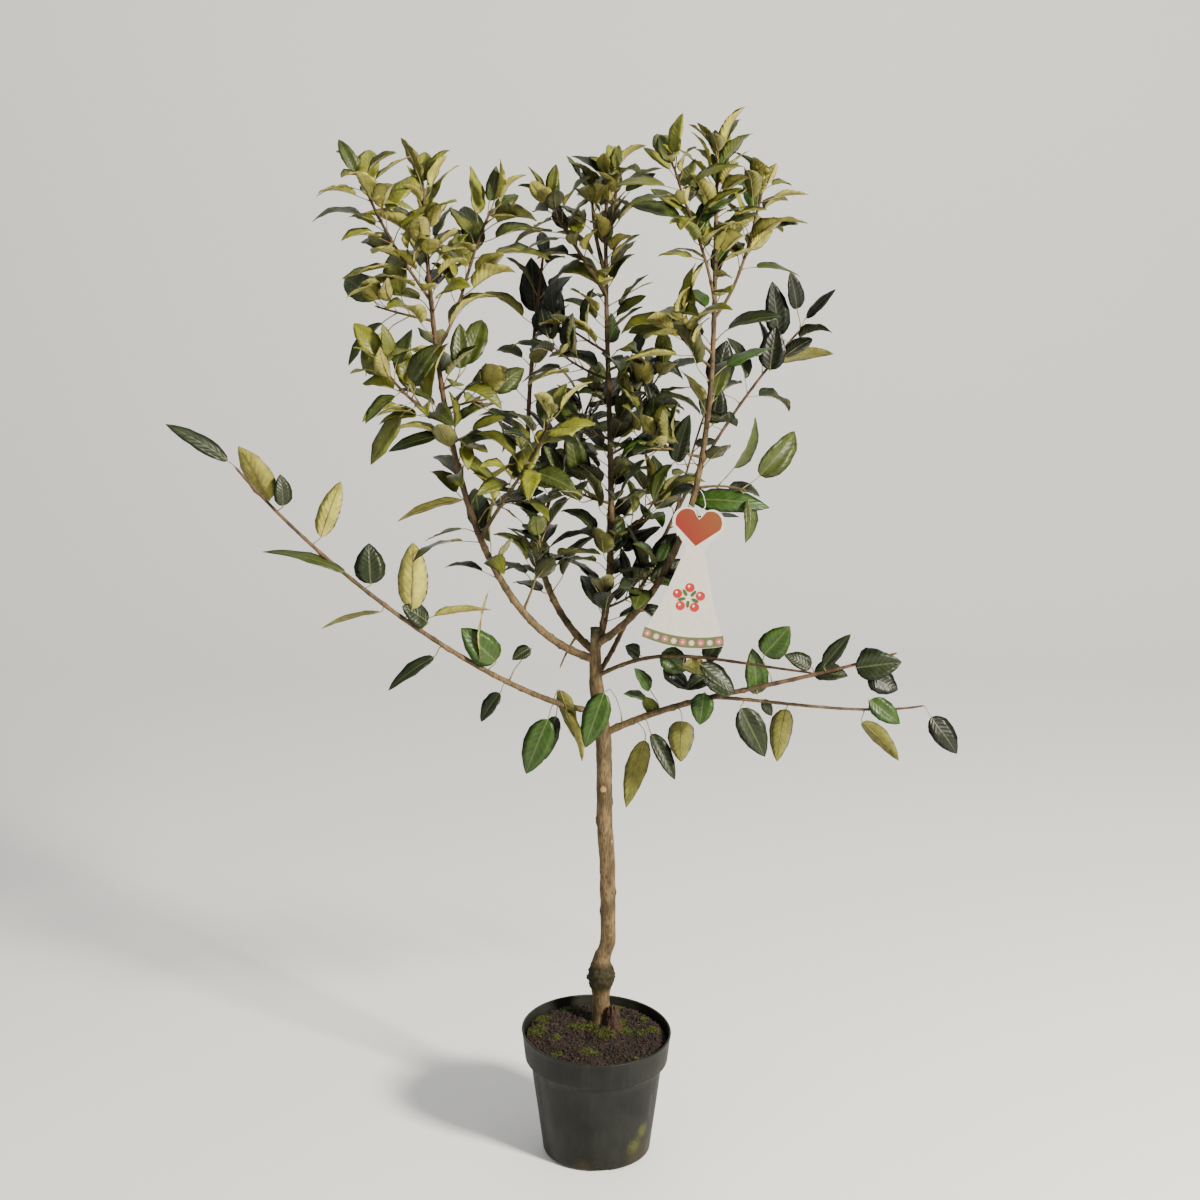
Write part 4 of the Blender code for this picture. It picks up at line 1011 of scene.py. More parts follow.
# Each region's mix of tones paints the light and shade on it: more lit tones on the lit left and top of the
# crown, more shaded tones at the back, inside and low down.
TONE_MIXES = {
    "left": (("sunlit", 5), ("olive", 6), ("mid", 2)),
    "left_shaded": (("olive", 4), ("mid", 4), ("dark", 2), ("sunlit", 1)),
    "front_left": (("sunlit", 3), ("olive", 3), ("mid", 2), ("dark", 2)),
    "crown": (("olive", 5), ("mid", 4), ("sunlit", 2), ("dark", 1)),
    "inner": (("mid", 4), ("dark", 5), ("olive", 2), ("deep_shade", 1), ("green", 1)),
    "inner_low": (("dark", 6), ("deep_shade", 2), ("mid", 3), ("green", 2), ("olive", 1)),
    "right": (("olive", 4), ("sunlit", 3), ("mid", 2), ("green", 2)),
    "right_low": (("green", 3), ("dark", 4), ("mid", 3), ("olive", 1)),
    "back": (("deep_shade", 5), ("dark", 4), ("mid", 2)),
    "back_right": (("deep_shade", 6), ("dark", 2), ("mid", 1)),
    "lateral": (("green", 4), ("dark", 4), ("mid", 2)),
}


def vein_group():
    """Where the midrib and the side veins run, from a blade's own map."""
    group, given, result = new_group("leaf_veins", (("Map", "NodeSocketVector", (0, 0, 0)),),
                                     (("Rib", "NodeSocketFloat"), ("Height", "NodeSocketFloat")))
    split = put(group, "ShaderNodeSeparateXYZ", {0: given["Map"]}).outputs
    side = calculate(group, "ABSOLUTE", calculate(group, "SUBTRACT", split["X"], 0.5))
    slant = calculate(group, "SUBTRACT", calculate(group, "MULTIPLY", split["Y"], 9.0),
                      calculate(group, "MULTIPLY", side, 4.2))
    wave = calculate(group, "PINGPONG", slant, 0.5)
    veins = between(group, wave, 0.07, 0.0)
    rib = between(group, side, 0.045, 0.015)
    faint = calculate(group, "MULTIPLY", veins, 0.45)
    group.links.new(calculate(group, "MAXIMUM", rib, faint), result["Rib"])
    pillow = between(group, wave, 0.0, 0.5)
    groove = calculate(group, "MULTIPLY", rib, 0.8)
    group.links.new(calculate(group, "SUBTRACT", pillow, groove), result["Height"])
    return group


leaf_veins = vein_group()


def blade_finish(name, colour, rib_share, roughness, sheen, gloss, relief):
    made, tree, shader = new_material(name)
    veins = put(tree, "ShaderNodeGroup", node_tree=leaf_veins)
    tree.links.new(put(tree, "ShaderNodeUVMap", uv_map="blade").outputs[0], veins.inputs["Map"])
    place = object_place(tree)
    darker = tuple(c * 0.72 for c in colour) + (1,)
    lighter = tuple(c * 1.22 for c in colour) + (1,)
    pale = tuple(c * 0.55 + 0.16 * w for c, w in zip(colour, (1.0, 1.0, 0.5))) + (1,)
    share = between(tree, speckle(tree, place, 70.0, 3.0, 0.6), 0.36, 0.64)
    shade = blend_colours(tree, share, darker, lighter)
    rib = calculate(tree, "MULTIPLY", veins.outputs["Rib"], rib_share)
    tree.links.new(blend_colours(tree, rib, shade, pale), shader.inputs["Base Color"])
    tree.links.new(between(tree, share, 0, 1, roughness - 0.06, roughness + 0.06), shader.inputs["Roughness"])
    shader.inputs["Sheen Weight"].default_value = sheen
    shader.inputs["Specular IOR Level"].default_value = gloss
    shader.inputs["Sheen Roughness"].default_value = 0.5
    bumped(tree, shader, veins.outputs["Height"], relief, 0.8)
    return made


def stalk_finish():
    made, tree, shader = new_material("leaf_stalk")
    place = object_place(tree)
    share = between(tree, speckle(tree, place, 55.0, 3.0), 0.45, 0.62)
    tree.links.new(blend_colours(tree, share, STALK_PALE, STALK_RED), shader.inputs["Base Color"])
    tree.links.new(between(tree, share, 0, 1, 0.55, 0.70), shader.inputs["Roughness"])
    bumped(tree, shader, speckle(tree, place, 900.0, 2.0), 0.0002)
    return made


blade_finishes = {}
for tone, colours in TONES.items():
    blade_finishes[tone, "upper"] = blade_finish("leaf_" + tone + "_upper", colours["upper"], rib_share=0.28,
                                                 roughness=0.42, sheen=0.0, gloss=0.34, relief=0.00035)
    blade_finishes[tone, "under"] = blade_finish("leaf_" + tone + "_under", colours["under"], rib_share=0.45,
                                                 roughness=0.80, sheen=0.10, gloss=0.15, relief=0.0006)


class Blades:
    """Leaf blades of one region joined into a piece, each face with its tone and its map."""

    def __init__(self):
        self.points, self.faces, self.maps, self.kinds = [], [], [], []
        self.tones = []

    def tone_number(self, tone):
        if tone not in self.tones:
            self.tones.append(tone)
        return self.tones.index(tone) * 2

    def piece(self, name):
        finishes = [blade_finishes[tone, side] for tone in self.tones for side in ("upper", "under")]
        made = new_piece(name, self.points, self.faces, *finishes)
        layer = made.data.uv_layers.new(name="blade")
        layer.data.foreach_set("uv", [value for corner in self.maps for value in corner])
        made.data.polygons.foreach_set("material_index", self.kinds)
        return made


def half_width(share):
    """Half width of a blade along it, as a share of its widest half."""
    early = (share / 0.42) ** 0.62 * math.exp(0.62 * (1 - share / 0.42))
    return early * (1 - share ** 4) ** 0.9


def midrib(length, arch):
    """The midrib in its own plane, along X and bending down; its ends then lie level."""
    points = [Vector((0, 0, 0))]
    for low, high in zip(STATIONS, STATIONS[1:]):
        pitch = -arch * ((low + high) / 2) ** 1.15
        points.append(points[-1] + Vector((math.cos(pitch), 0, math.sin(pitch))) * (high - low))
    chord = points[-1]
    level = math.atan2(chord.z, chord.x)
    grow = length / chord.length
    turned = []
    for p in points:
        turned.append(Vector((p.x * math.cos(level) + p.z * math.sin(level), 0,
                              p.z * math.cos(level) - p.x * math.sin(level))) * grow)
    return turned


def add_blade(blades, base, tip, face, width, tone, dice, arch=0.9, fold=0.45, twist=0.0):
    """Adds one closed blade from base to tip, its upper side turned to face. Returns its rib."""
    ahead = tip - base
    length = ahead.length
    ahead.normalize()
    upward = (face - ahead * face.dot(ahead)).normalized()
    beside = upward.cross(ahead)
    ribs = midrib(length, arch)
    first = len(blades.points)
    number = blades.tone_number(tone)
    phase = dice.uniform(0, math.tau)
    ripple = dice.uniform(0.04, 0.12)
    curl = dice.uniform(-0.25, 0.30)

    def world(x, y, z):
        return base + ahead * x + beside * y + upward * z

    upper, lower = [], []
    for station, share in enumerate(STATIONS):
        here = ribs[station]
        if share in (0.0, 1.0):
            blades.points.append(world(here.x, 0, here.z))
            upper.append([len(blades.points) - 1] * 5)
            lower.append(upper[-1])
            continue
        before, after = ribs[station - 1], ribs[station + 1]
        slope = math.atan2(after.z - before.z, after.x - before.x)
        half = width / 2 * half_width(share) * (1 + (TOOTH_DEPTH if station % 2 else -TOOTH_DEPTH))
        spin = twist * (share - 0.3)
        rows = ([], [])
        for column in COLUMNS:
            size = abs(column)
            folded = fold * (1 - 0.35 * share)
            y = column * half * math.cos(folded)
            z = size * half * math.sin(folded) + curl * half * column * column
            z += ripple * half * size * math.sin(phase + share * 15 + column * 1.3)
            if 0 < size < 1:
                z += PUCKER_UP if station % 2 else -PUCKER_DOWN
            y, z = y * math.cos(spin) - z * math.sin(spin), y * math.sin(spin) + z * math.cos(spin)
            for layer, offset in ((0, BLADE_THICKNESS / 2), (1, -BLADE_THICKNESS / 2)):
                if size == 1 and layer:
                    rows[1].append(rows[0][-1])
                    continue
                lift = z + (offset if size < 1 else 0)
                x = here.x - lift * math.sin(slope)
                blades.points.append(world(x, y, here.z + lift * math.cos(slope)))
                rows[layer].append(len(blades.points) - 1)
        upper.append(rows[0])
        lower.append(rows[1])
    for rows, kind in ((upper, number), (lower, number + 1)):
        for station in range(len(STATIONS) - 1):
            for column in range(4):
                low, high = rows[station], rows[station + 1]
                corners = [(low, 0, column), (high, 1, column), (high, 1, column + 1), (low, 0, column + 1)]
                if STATIONS[station] == 0.0:
                    corners = [corners[0], corners[1], corners[2]]
                elif STATIONS[station + 1] == 1.0:
                    corners = [corners[0], corners[1], corners[3]]
                if kind % 2:
                    corners = corners[:1] + corners[:0:-1]
                blades.faces.append(tuple(row[c] for row, step, c in corners))
                blades.kinds.append(kind)
                for row, step, c in corners:
                    blades.maps.append((c / 4, STATIONS[station + step]))
    return [world(p.x, 0, p.z - BLADE_THICKNESS) for p in ribs]


class Stalks:
    """Leaf stalks and the ribs that carry on beneath the blades, joined into one piece."""

    def __init__(self):
        self.points, self.faces = [], []

    def add(self, path, radii, sides=4):
        first = len(self.points)
        across = Vector((0.3, 0.8, 0.5))
        for number, middle in enumerate(path):
            along = path[min(number + 1, len(path) - 1)] - path[max(number - 1, 0)]
            along.normalize()
            across = (across - along * across.dot(along)).normalized()
            beside = along.cross(across)
            for side in range(sides):
                turn = math.tau * side / sides
                out = across * math.cos(turn) + beside * math.sin(turn)
                self.points.append(middle + radii[number] * out)
        self.faces += [tuple(i + first for i in face) for face in bridge_rings(len(path), sides)]
        last = len(self.points)
        self.faces.append(tuple(first + side for side in reversed(range(sides))))
        self.faces.append(tuple(last - sides + side for side in range(sides)))


stalks = Stalks()


def add_leaf(blades, foot, leaving, base, tip, face, width, tone, dice, **shape):
    """One leaf: a stalk from its foot on the wood to the blade's base, and the blade."""
    rib = add_blade(blades, base, tip, face, width, tone, dice, **shape)
    span = (base - foot).length
    arriving = base - (rib[2] - rib[0]).normalized() * span * 0.35
    start = foot + leaving * span * 0.35
    path, radii = [], []
    for step in range(5):
        share = step / 4
        rest = 1 - share
        path.append(foot * rest ** 3 + start * 3 * rest ** 2 * share
                    + arriving * 3 * rest * share ** 2 + base * share ** 3)
        radii.append(STALK_RADIUS * (1.7 if step == 0 else 1.0))
    for station in (2, 5, 7, 9):
        path.append(rib[station])
        radii.append(STALK_RADIUS * (0.85 - 0.62 * STATIONS[station]))
    stalks.add(path, radii)


def pick_tone(mix, dice):
    names = [name for name, weight in TONE_MIXES[mix] for turn in range(weight)]
    return names[int(dice.random() * len(names))]


def grow_leaf(blades, stem, share, turn, size, mix, dice, spread=None):
    """A leaf by the growing rule: spiral round the stem, outwards, arched back, upper side inwards."""
    along, out = stem.along(share), stem.outward(share, turn)
    foot = stem.point(share) + out * stem.radius(share) * 0.8
    open_angle = math.radians(dice.uniform(34, 62) if spread is None else spread)
    leaving = (along * math.cos(open_angle) + out * math.sin(open_angle)).normalized()
    base = foot + leaving * dice.uniform(0.30, 0.42) * size
    wide = open_angle + math.radians(dice.uniform(2, 34))
    ahead = along * math.cos(wide) + out * math.sin(wide)
    ahead += Vector([dice.uniform(-1, 1) * 0.22 for axis in range(3)])
    ahead.normalize()
    ahead.y = min(max(ahead.y, (CROWN_FRONT - base.y) / size), (CROWN_BACK - base.y) / size)
    ahead.normalize()
    sky = Vector((0, -0.25, 1)) * (0.55 if abs(along.z) > 0.6 else 1.5)
    face = along + sky + Vector([dice.uniform(-1, 1) * 0.55 for axis in range(3)])
    add_leaf(blades, foot, leaving, base, base + ahead * size, face, size * dice.uniform(0.43, 0.57),
             pick_tone(mix, dice), dice, arch=dice.uniform(0.2, 1.2),
             fold=dice.uniform(0.10, 0.60), twist=dice.uniform(-0.7, 0.7))


def grow_spray(blades, stem, low, high, count, sizes, mix, seed, per_node=2):
    """Leaves along a stretch of a stem, one to three at each node, smaller towards the tip."""
    dice = random.Random(seed)
    nodes = max(1, math.ceil(count / per_node))
    turn = dice.uniform(0, math.tau)
    made = 0
    for number in range(nodes):
        share = low + (high - low) * (number + 0.5) / nodes
        turn += SPIRAL
        for other in range(per_node):
            if made == count:
                return
            made += 1
            young = smooth_share(0.80, 1.0, share)
            size = dice.uniform(*sizes) * (1 - 0.25 * young)
            at = min(max(share + dice.uniform(-0.3, 0.3) * (high - low) / nodes, 0.02), 0.995)
            round_to = turn + other * math.tau / per_node * 0.8 + dice.uniform(-0.35, 0.35)
            spread = dice.uniform(22, 40) if young > 0.6 else None
            grow_leaf(blades, stem, at, round_to, size, mix, dice, spread)


def end_tuft(blades, stem, size, mix, seed, count, opening):
    """The young leaves round the bud at a shoot's tip, opened wide or still upright."""
    dice = random.Random(seed)
    for number in range(count):
        turn = number * SPIRAL + dice.uniform(0, 0.5)
        grow_leaf(blades, stem, TUFT_SHARE, turn, size * dice.uniform(0.55, 0.95), mix, dice,
                  spread=dice.uniform(*opening))


# Sprays on the limbs themselves: the stem, the stretch of it, how many leaves, how long and with
# which mix of tones, which paints their light and shade. A tuft closes the shoot's tip.
LIMB_SPRAYS = {
    "left": (
        dict(stem="left_bough", stretch=(0.81, 0.98), count=26, size=(0.050, 0.082), mix="left", tuft=3),
        dict(stem="left_bough", stretch=(0.30, 0.80), count=24, size=(0.055, 0.085), mix="left_shaded"),
        dict(stem="left_outer_fork", stretch=(0.12, 0.97), count=22, size=(0.048, 0.076), mix="left", tuft=3,
             opening=SPREADING),
        dict(stem="left_inner_fork", stretch=(0.30, 1.0), count=18, size=(0.052, 0.088), mix="left", tuft=3),
        dict(stem="left_side_shoot", stretch=(0.18, 1.0), count=18, size=(0.048, 0.080), mix="left", tuft=2),
        dict(stem="front_left_shoot", stretch=(0.22, 1.0), count=24, size=(0.050, 0.076),
             mix="front_left", tuft=3),
        dict(stem="left_bough_spur", stretch=(0.5, 1.0), count=4, size=(0.055, 0.078), mix="left_shaded"),
        dict(stem="left_bough_low_spur", stretch=(0.5, 1.0), count=4, size=(0.045, 0.060), mix="left"),
    ),
    "back": (
        dict(stem="back_left_bough", stretch=(0.62, 1.0), count=14, size=(0.055, 0.080), mix="back"),
        dict(stem="back_left_bough", stretch=(0.20, 0.60), count=14, size=(0.055, 0.080), mix="back"),
        dict(stem="back_left_shoot", stretch=(0.30, 1.0), count=20, size=(0.055, 0.080), mix="back", tuft=2),
        dict(stem="back_right_shoot", stretch=(0.82, 1.0), count=5, size=(0.060, 0.085), mix="back_right"),
        dict(stem="back_right_shoot", stretch=(0.50, 0.66), count=3, size=(0.060, 0.080), mix="back_right"),
    ),
    "leader": (
        dict(stem="leader", stretch=(0.76, 0.98), count=26, size=(0.046, 0.072), mix="crown", tuft=3),
        dict(stem="leader", stretch=(0.42, 0.76), count=34, size=(0.050, 0.078), mix="inner"),
        dict(stem="leader", stretch=(0.10, 0.42), count=26, size=(0.050, 0.078), mix="inner_low"),
        dict(stem="leader_left_arm", stretch=(0.35, 1.0), count=14, size=(0.045, 0.072), mix="crown", tuft=4),
        dict(stem="leader_left_stem", stretch=(0.40, 1.0), count=8, size=(0.045, 0.070), mix="crown", tuft=2),
        dict(stem="leader_right_stem", stretch=(0.30, 1.0), count=8, size=(0.045, 0.070),
             mix="crown", tuft=2),
        dict(stem="leader_left_twig", stretch=(0.25, 1.0), count=7, size=(0.048, 0.070), mix="inner"),
        dict(stem="leader_right_twig", stretch=(0.4, 1.0), count=4, size=(0.045, 0.068), mix="inner"),
        dict(stem="leader_tan_twig", stretch=(0.4, 1.0), count=6, size=(0.048, 0.075), mix="inner_low"),
        dict(stem="leader_left_spur", stretch=(0.4, 1.0), count=5, size=(0.045, 0.070), mix="inner"),
        dict(stem="leader_right_spur", stretch=(0.4, 1.0), count=5, size=(0.045, 0.070), mix="inner"),
    ),
    "right": (
        dict(stem="right_bough", stretch=(0.78, 1.0), count=34, size=(0.048, 0.076), mix="right", tuft=4),
        dict(stem="right_bough", stretch=(0.42, 0.79), count=14, size=(0.052, 0.080), mix="right_low"),
        dict(stem="right_inner_fork", stretch=(0.26, 1.0), count=22, size=(0.048, 0.074), mix="right",
             tuft=3),
        dict(stem="right_outer_fork", stretch=(0.38, 0.98), count=20, size=(0.045, 0.072), mix="right",
             tuft=3,
             opening=SPREADING),
        dict(stem="right_bough_spur", stretch=(0.4, 1.0), count=5, size=(0.055, 0.078), mix="right"),
    ),
    "lateral": (),
}
# Sprays on side twigs of their own: each twig leaves a limb at a share of its length and heads for
# the furthest leaf tip of the spray.
TWIG_SPRAYS = {
    "left": (
        dict(limb="left_bough", at=0.80, tip=(-0.345, -0.110, 1.335),
             leave=(185, 12), count=7, size=(0.060, 0.082), mix="left"),
        dict(limb="left_bough", at=0.66, tip=(-0.122, -0.080, 1.190),
             leave=(10, 20), count=6, size=(0.055, 0.078), mix="left_shaded"),
        dict(limb="left_bough", at=0.23, tip=(-0.085, 0.005, 1.035),
             leave=(30, 60), count=14, size=(0.050, 0.075), mix="inner_low"),
    ),
    "back": (
        dict(limb="back_right_shoot", at=0.56, tip=(0.200, 0.120, 1.250),
             leave=(20, 75), count=4, size=(0.055, 0.080), mix="back_right"),
    ),
    "leader": (
        dict(limb="leader", at=0.16, tip=(0.100, -0.035, 0.985),
             leave=(340, 20), count=14, size=(0.052, 0.080), mix="inner_low"),
        dict(limb="leader", at=0.34, tip=(0.108, -0.015, 1.105),
             leave=(350, 25), count=10, size=(0.052, 0.080), mix="inner"),
        dict(limb="leader", at=0.42, tip=(-0.070, -0.030, 1.100),
             leave=(190, 10), count=10, size=(0.052, 0.080), mix="inner_low"),
        dict(limb="leader", at=0.58, tip=(0.115, 0.000, 1.262),
             leave=(350, 30), count=10, size=(0.052, 0.080), mix="inner"),
        dict(limb="leader", at=0.66, tip=(-0.100, -0.020, 1.300),
             leave=(185, 20), count=10, size=(0.052, 0.080), mix="inner"),
    ),
    "right": (
        dict(limb="right_bough", at=0.40, tip=(0.250, -0.080, 1.045),
             leave=(10, 10), count=4, size=(0.060, 0.085), mix="right_low"),
        dict(limb="right_bough", at=0.46, tip=(0.055, -0.090, 1.150),
             leave=(190, 10), count=12, size=(0.055, 0.085), mix="right_low"),
        dict(limb="right_bough", at=0.62, tip=(0.095, -0.095, 1.330),
             leave=(195, 35), count=9, size=(0.055, 0.085), mix="right"),
    ),
    "lateral": (),
}
TWIG_PULL = 0.45
TWIG_REACH = 0.62

regions = {name: Blades() for name in LIMB_SPRAYS}
for number, (region, rows) in enumerate(LIMB_SPRAYS.items()):
    for place, row in enumerate(rows):
        seed = 1000 + number * 100 + place
        stem = stems[row["stem"]]
        grow_spray(regions[region], stem, *row["stretch"], row["count"], row["size"], row["mix"], seed)
        if "tuft" in row:
            end_tuft(regions[region], stem, row["size"][1] * 0.85, row["mix"], seed + 50, row["tuft"],
                     row.get("opening", UPRIGHT))
for number, (region, rows) in enumerate(TWIG_SPRAYS.items()):
    for place, row in enumerate(rows):
        seed = 2000 + number * 100 + place
        start, tip = stems[row["limb"]].point(row["at"]), Vector(row["tip"])
        pull = start + heading_vector(*row["leave"]) * (tip - start).length * TWIG_PULL
        twig = Stem((start, pull, pull.lerp(tip, 0.5), tip), TWIG_RADII, TWIG_REACH, seed)
        twigs.add(twig, TWIG_STEP, TWIG_SIDES, 0.9, collar=0.5)
        grow_spray(regions[region], twig, 0.25, 1.0, row["count"], row["size"], row["mix"], seed)

# Single leaves
# On the thin laterals and at a few places in the crown each leaf stands apart and is set where the
# photo shows it. A row has the blade's base and tip in photo pixels, its width in millimetres, the
# side that shows, its turn away in degrees, its tone, which paints the leaf's light or shade, and,
# where set, its distance behind the pot's middle.
SINGLE_LEAVES = {
    "lower_left_lateral": (
        ((228, 461), (165, 424), 28, "upper", 42, "dark"),
        ((270, 500), (238, 446), 44, "under", 15, "olive"),
        ((283, 506), (280, 474), 30, "upper", 30, "dark"),
        ((321, 537), (341, 481), 34, "under", 12, "sunlit"),
        ((346, 573), (261, 552), 24, "upper", 62, "mid"),
        ((371, 584), (369, 543), 48, "upper", 8, "dark"),
        ((412, 610), (413, 542), 47, "under", 4, "sunlit"),
        ((381, 612), (321, 629), 22, "under", 58, "mid"),
        ((428, 622), (402, 606), 40, "upper", 35, "dark"),
        ((434, 616), (492, 610), 26, "under", 50, "olive"),
        ((434, 657), (388, 691), 26, "upper", 52, "dark"),
        ((480, 658), (490, 588), 22, "under", 55, "sunlit"),
        ((496, 661), (461, 628), 50, "upper", 12, "green"),
        ((530, 648), (512, 660), 24, "upper", 30, "dark"),
        ((500, 693), (481, 722), 28, "upper", 45, "dark"),
        ((548, 719), (526, 774), 46, "upper", 10, "green"),
        ((560, 690), (574, 738), 28, "under", 35, "mid"),
        ((566, 712), (582, 762), 26, "under", 50, "olive"),
        ((556, 716), (545, 760), 30, "upper", 35, "dark"),
    ),
    "lower_right_lateral": (
        ((604, 693), (585, 748), 42, "upper", 8, "green", -0.045),
        ((645, 740), (626, 808), 36, "under", 8, "mid"),
        ((651, 734), (675, 780), 28, "upper", 28, "dark"),
        ((682, 721), (681, 762), 42, "under", 8, "mid"),
        ((650, 690), (634, 668), 24, "upper", 35, "green"),
        ((646, 697), (623, 694), 20, "upper", 55, "green"),
        ((655, 714), (643, 696), 26, "under", 25, "green"),
        ((704, 693), (700, 725), 36, "upper", 8, "green"),
        ((714, 672), (686, 690), 34, "upper", 35, "dark"),
        ((764, 655), (790, 626), 46, "upper", 8, "green"),
        ((811, 667), (784, 655), 28, "upper", 30, "dark"),
        ((824, 666), (851, 634), 26, "upper", 28, "dark"),
        ((757, 694), (752, 648), 40, "upper", 18, "green"),
        ((728, 692), (702, 680), 30, "upper", 32, "dark"),
        ((856, 668), (902, 662), 46, "upper", 18, "dark"),
        ((868, 676), (898, 690), 40, "upper", 20, "deep_shade"),
        ((814, 673), (848, 676), 34, "upper", 38, "dark"),
        ((860, 662), (884, 652), 34, "upper", 30, "deep_shade"),
    ),
    "back_right_lateral": (
        ((870, 700), (900, 724), 34, "upper", 12, "green"),
        ((862, 722), (899, 761), 30, "under", 22, "mid"),
        ((931, 717), (957, 754), 40, "upper", 14, "deep_shade"),
        ((741, 708), (765, 757), 44, "upper", 8, "dark"),
        ((786, 709), (777, 762), 38, "under", 6, "mid"),
        ((762, 700), (772, 716), 20, "upper", 30, "dark"),
    ),
    "upper_right_lateral": (
        ((662, 652), (686, 671), 40, "upper", 12, "green"),
        ((640, 655), (625, 646), 26, "upper", 30, "dark"),
        ((706, 660), (724, 640), 30, "upper", 30, "dark"),
        ((684, 664), (708, 676), 34, "under", 25, "mid"),
        ((700, 664), (735, 694), 32, "upper", 38, "dark"),
        ((664, 666), (690, 690), 32, "upper", 35, "deep_shade"),
    ),
    "back_right_shoot": (
        ((779, 336), (772, 281), 42, "upper", 6, "deep_shade"),
        ((797, 309), (790, 271), 28, "upper", 14, "deep_shade"),
        ((770, 370), (776, 326), 44, "upper", 10, "deep_shade"),
        ((806, 318), (836, 289), 22, "upper", 45, "deep_shade"),
        ((781, 362), (834, 354), 30, "under", 42, "mid"),
        ((716, 386), (727, 340), 46, "upper", 8, "deep_shade"),
        ((712, 424), (720, 386), 40, "upper", 12, "deep_shade"),
    ),
    "back_left_bough": (
        ((535, 312), (531, 257), 44, "upper", 4, "deep_shade"),
    ),
    "left_bough": (
        ((463, 500), (397, 522), 24, "under", 48, "olive"),
        ((440, 436), (388, 452), 26, "upper", 50, "dark"),
    ),
    "right_bough": (
        ((693, 500), (770, 508), 40, "upper", 36, "green"),
        ((676, 462), (690, 414), 34, "upper", 24, "dark"),
    ),
}
LEAF_REGIONS = {"lower_left_lateral": "lateral", "lower_right_lateral": "lateral",
                "back_right_lateral": "lateral", "upper_right_lateral": "lateral",
                "back_right_shoot": "back", "back_left_bough": "back", "left_bough": "left",
                "right_bough": "right"}

for number, (name, rows) in enumerate(SINGLE_LEAVES.items()):
    stem = stems[name]
    dice = random.Random(3000 + number)
    for base_pixel, tip_pixel, wide, side, turn, tone, *set_depth in rows:
        middle = seen(*base_pixel, stem.point(stem.nearest(seen(*base_pixel, 0))).y)
        share = stem.nearest(middle)
        on_wood = stem.point(share)
        near_wood = on_wood.y + dice.uniform(-0.012, 0.012)
        depth = set_depth[0] if set_depth else near_wood
        base = seen(*base_pixel, depth)
        away = base - on_wood
        leaving = (away.normalized() + stem.along(share) * 0.5).normalized()
        foot = on_wood + leaving * stem.radius(share) * 0.6
        shown = -1 if side == "upper" else 1
        turned = math.radians(turn)
        tip = seen(*tip_pixel, depth + shown * math.sin(turned) * 0.012 + dice.uniform(-0.012, 0.012))
        ahead = (tip - base).normalized()
        facing = Vector((0, shown, 0))
        upward = (Vector((0, 0, 1)) - ahead * ahead.z).normalized()
        face = facing * math.cos(turned) + upward * math.sin(turned)
        add_leaf(regions[LEAF_REGIONS[name]], foot, leaving, base, tip, face, wide / 1000, tone, dice,
                 arch=dice.uniform(0.2, 0.7), fold=dice.uniform(0.10, 0.35), twist=dice.uniform(-0.3, 0.3))

# The leaf pieces
# The blades of each part of the crown are one piece, and stand for that part's masses of leaves.
# All stalks make one piece, and all twigs another.
MASSES_OF = {
    "left": ("leaves_left_crown", "leaves_left_outer_crown", "leaves_left_outer_low",
             "leaves_left_inner_crown", "leaves_left_side", "leaves_left_spur", "leaves_front_left",
             "leaves_inner_left"),
    "back": ("leaves_back_left_crown", "leaves_back_left_low", "leaves_back_right", "leaves_back_right_low"),
    "leader": ("leaves_centre_low", "leaves_centre_mid_right", "leaves_centre_mid_left",
               "leaves_centre_high_right", "leaves_centre_high_left", "leaves_centre_crown",
               "leaves_centre_left_crown"),
    "right": ("leaves_right_bough_low", "leaves_right_bough_inner", "leaves_right_mid_inner",
              "leaves_right_crown", "leaves_right_inner_crown", "leaves_right_outer_crown"),
    "lateral": ("leaves_lower_left_tip", "leaves_lower_left_outer", "leaves_lower_left_mid",
                "leaves_lower_left_inner", "leaves_trunk_left", "leaves_trunk_right",
                "leaves_lower_right_rise", "leaves_lower_right_tip", "leaves_back_lateral_hang",
                "leaves_back_lateral_tip", "leaves_front_lateral_tip", "leaves_front_lateral_low"),
}
for region, blades in regions.items():
    settle(blades.piece("leaf_blades_" + region), "leaf", *MASSES_OF[region])
settle(face_outwards(new_piece("leaf_stalks", stalks.points, stalks.faces, stalk_finish())), "leaf")
settle(twigs.piece("twigs", bark), "bark")

# The hang label
# A heart-headed card of printed plastic with a pale rim, tied to the right bough with thin string.
# The print is a plain warm heart, a sprig of dots and leaves, and a scalloped band at the foot.
LABEL_TOP = Vector((0.1490, -0.0910, 1.0350))
LABEL_LEAN = math.radians(7)
LABEL_THICKNESS = 0.0008
HEART_RADIUS = 0.0205
HEART_HEIGHT = 0.075
CARD_NECK_WIDTH = 0.036
CARD_FOOT_WIDTH = 0.124
CARD_HEIGHT = 0.206
CARD_FOOT_SAG = 0.010
LABEL_HOLE_RADIUS = 0.0026
LABEL_HOLE_DROP = 0.0125
STRING_DULL = (0.42, 0.42, 0.36, 1)
STRING_PALE = (0.72, 0.72, 0.66, 1)
PRINT_PROUD = 0.00016
PRINT_SUNK = 0.0001
HEART_NARROWING = 0.92
BAND_STEPS = 24
BAND_HEIGHT = 0.0165
CARD_WHITE = (0.50, 0.47, 0.42)
HEART_RED = (0.170, 0.011, 0.005, 1)
HEART_ORANGE = (0.150, 0.043, 0.009, 1)
PRINT_COLOURS = {"red": (0.34, 0.012, 0.010), "cream": (0.60, 0.54, 0.34),
                 "leaf_green": (0.045, 0.075, 0.012), "rose": (0.36, 0.085, 0.100),
                 "blush": (0.52, 0.31, 0.30), "band_green": (0.075, 0.095, 0.030)}

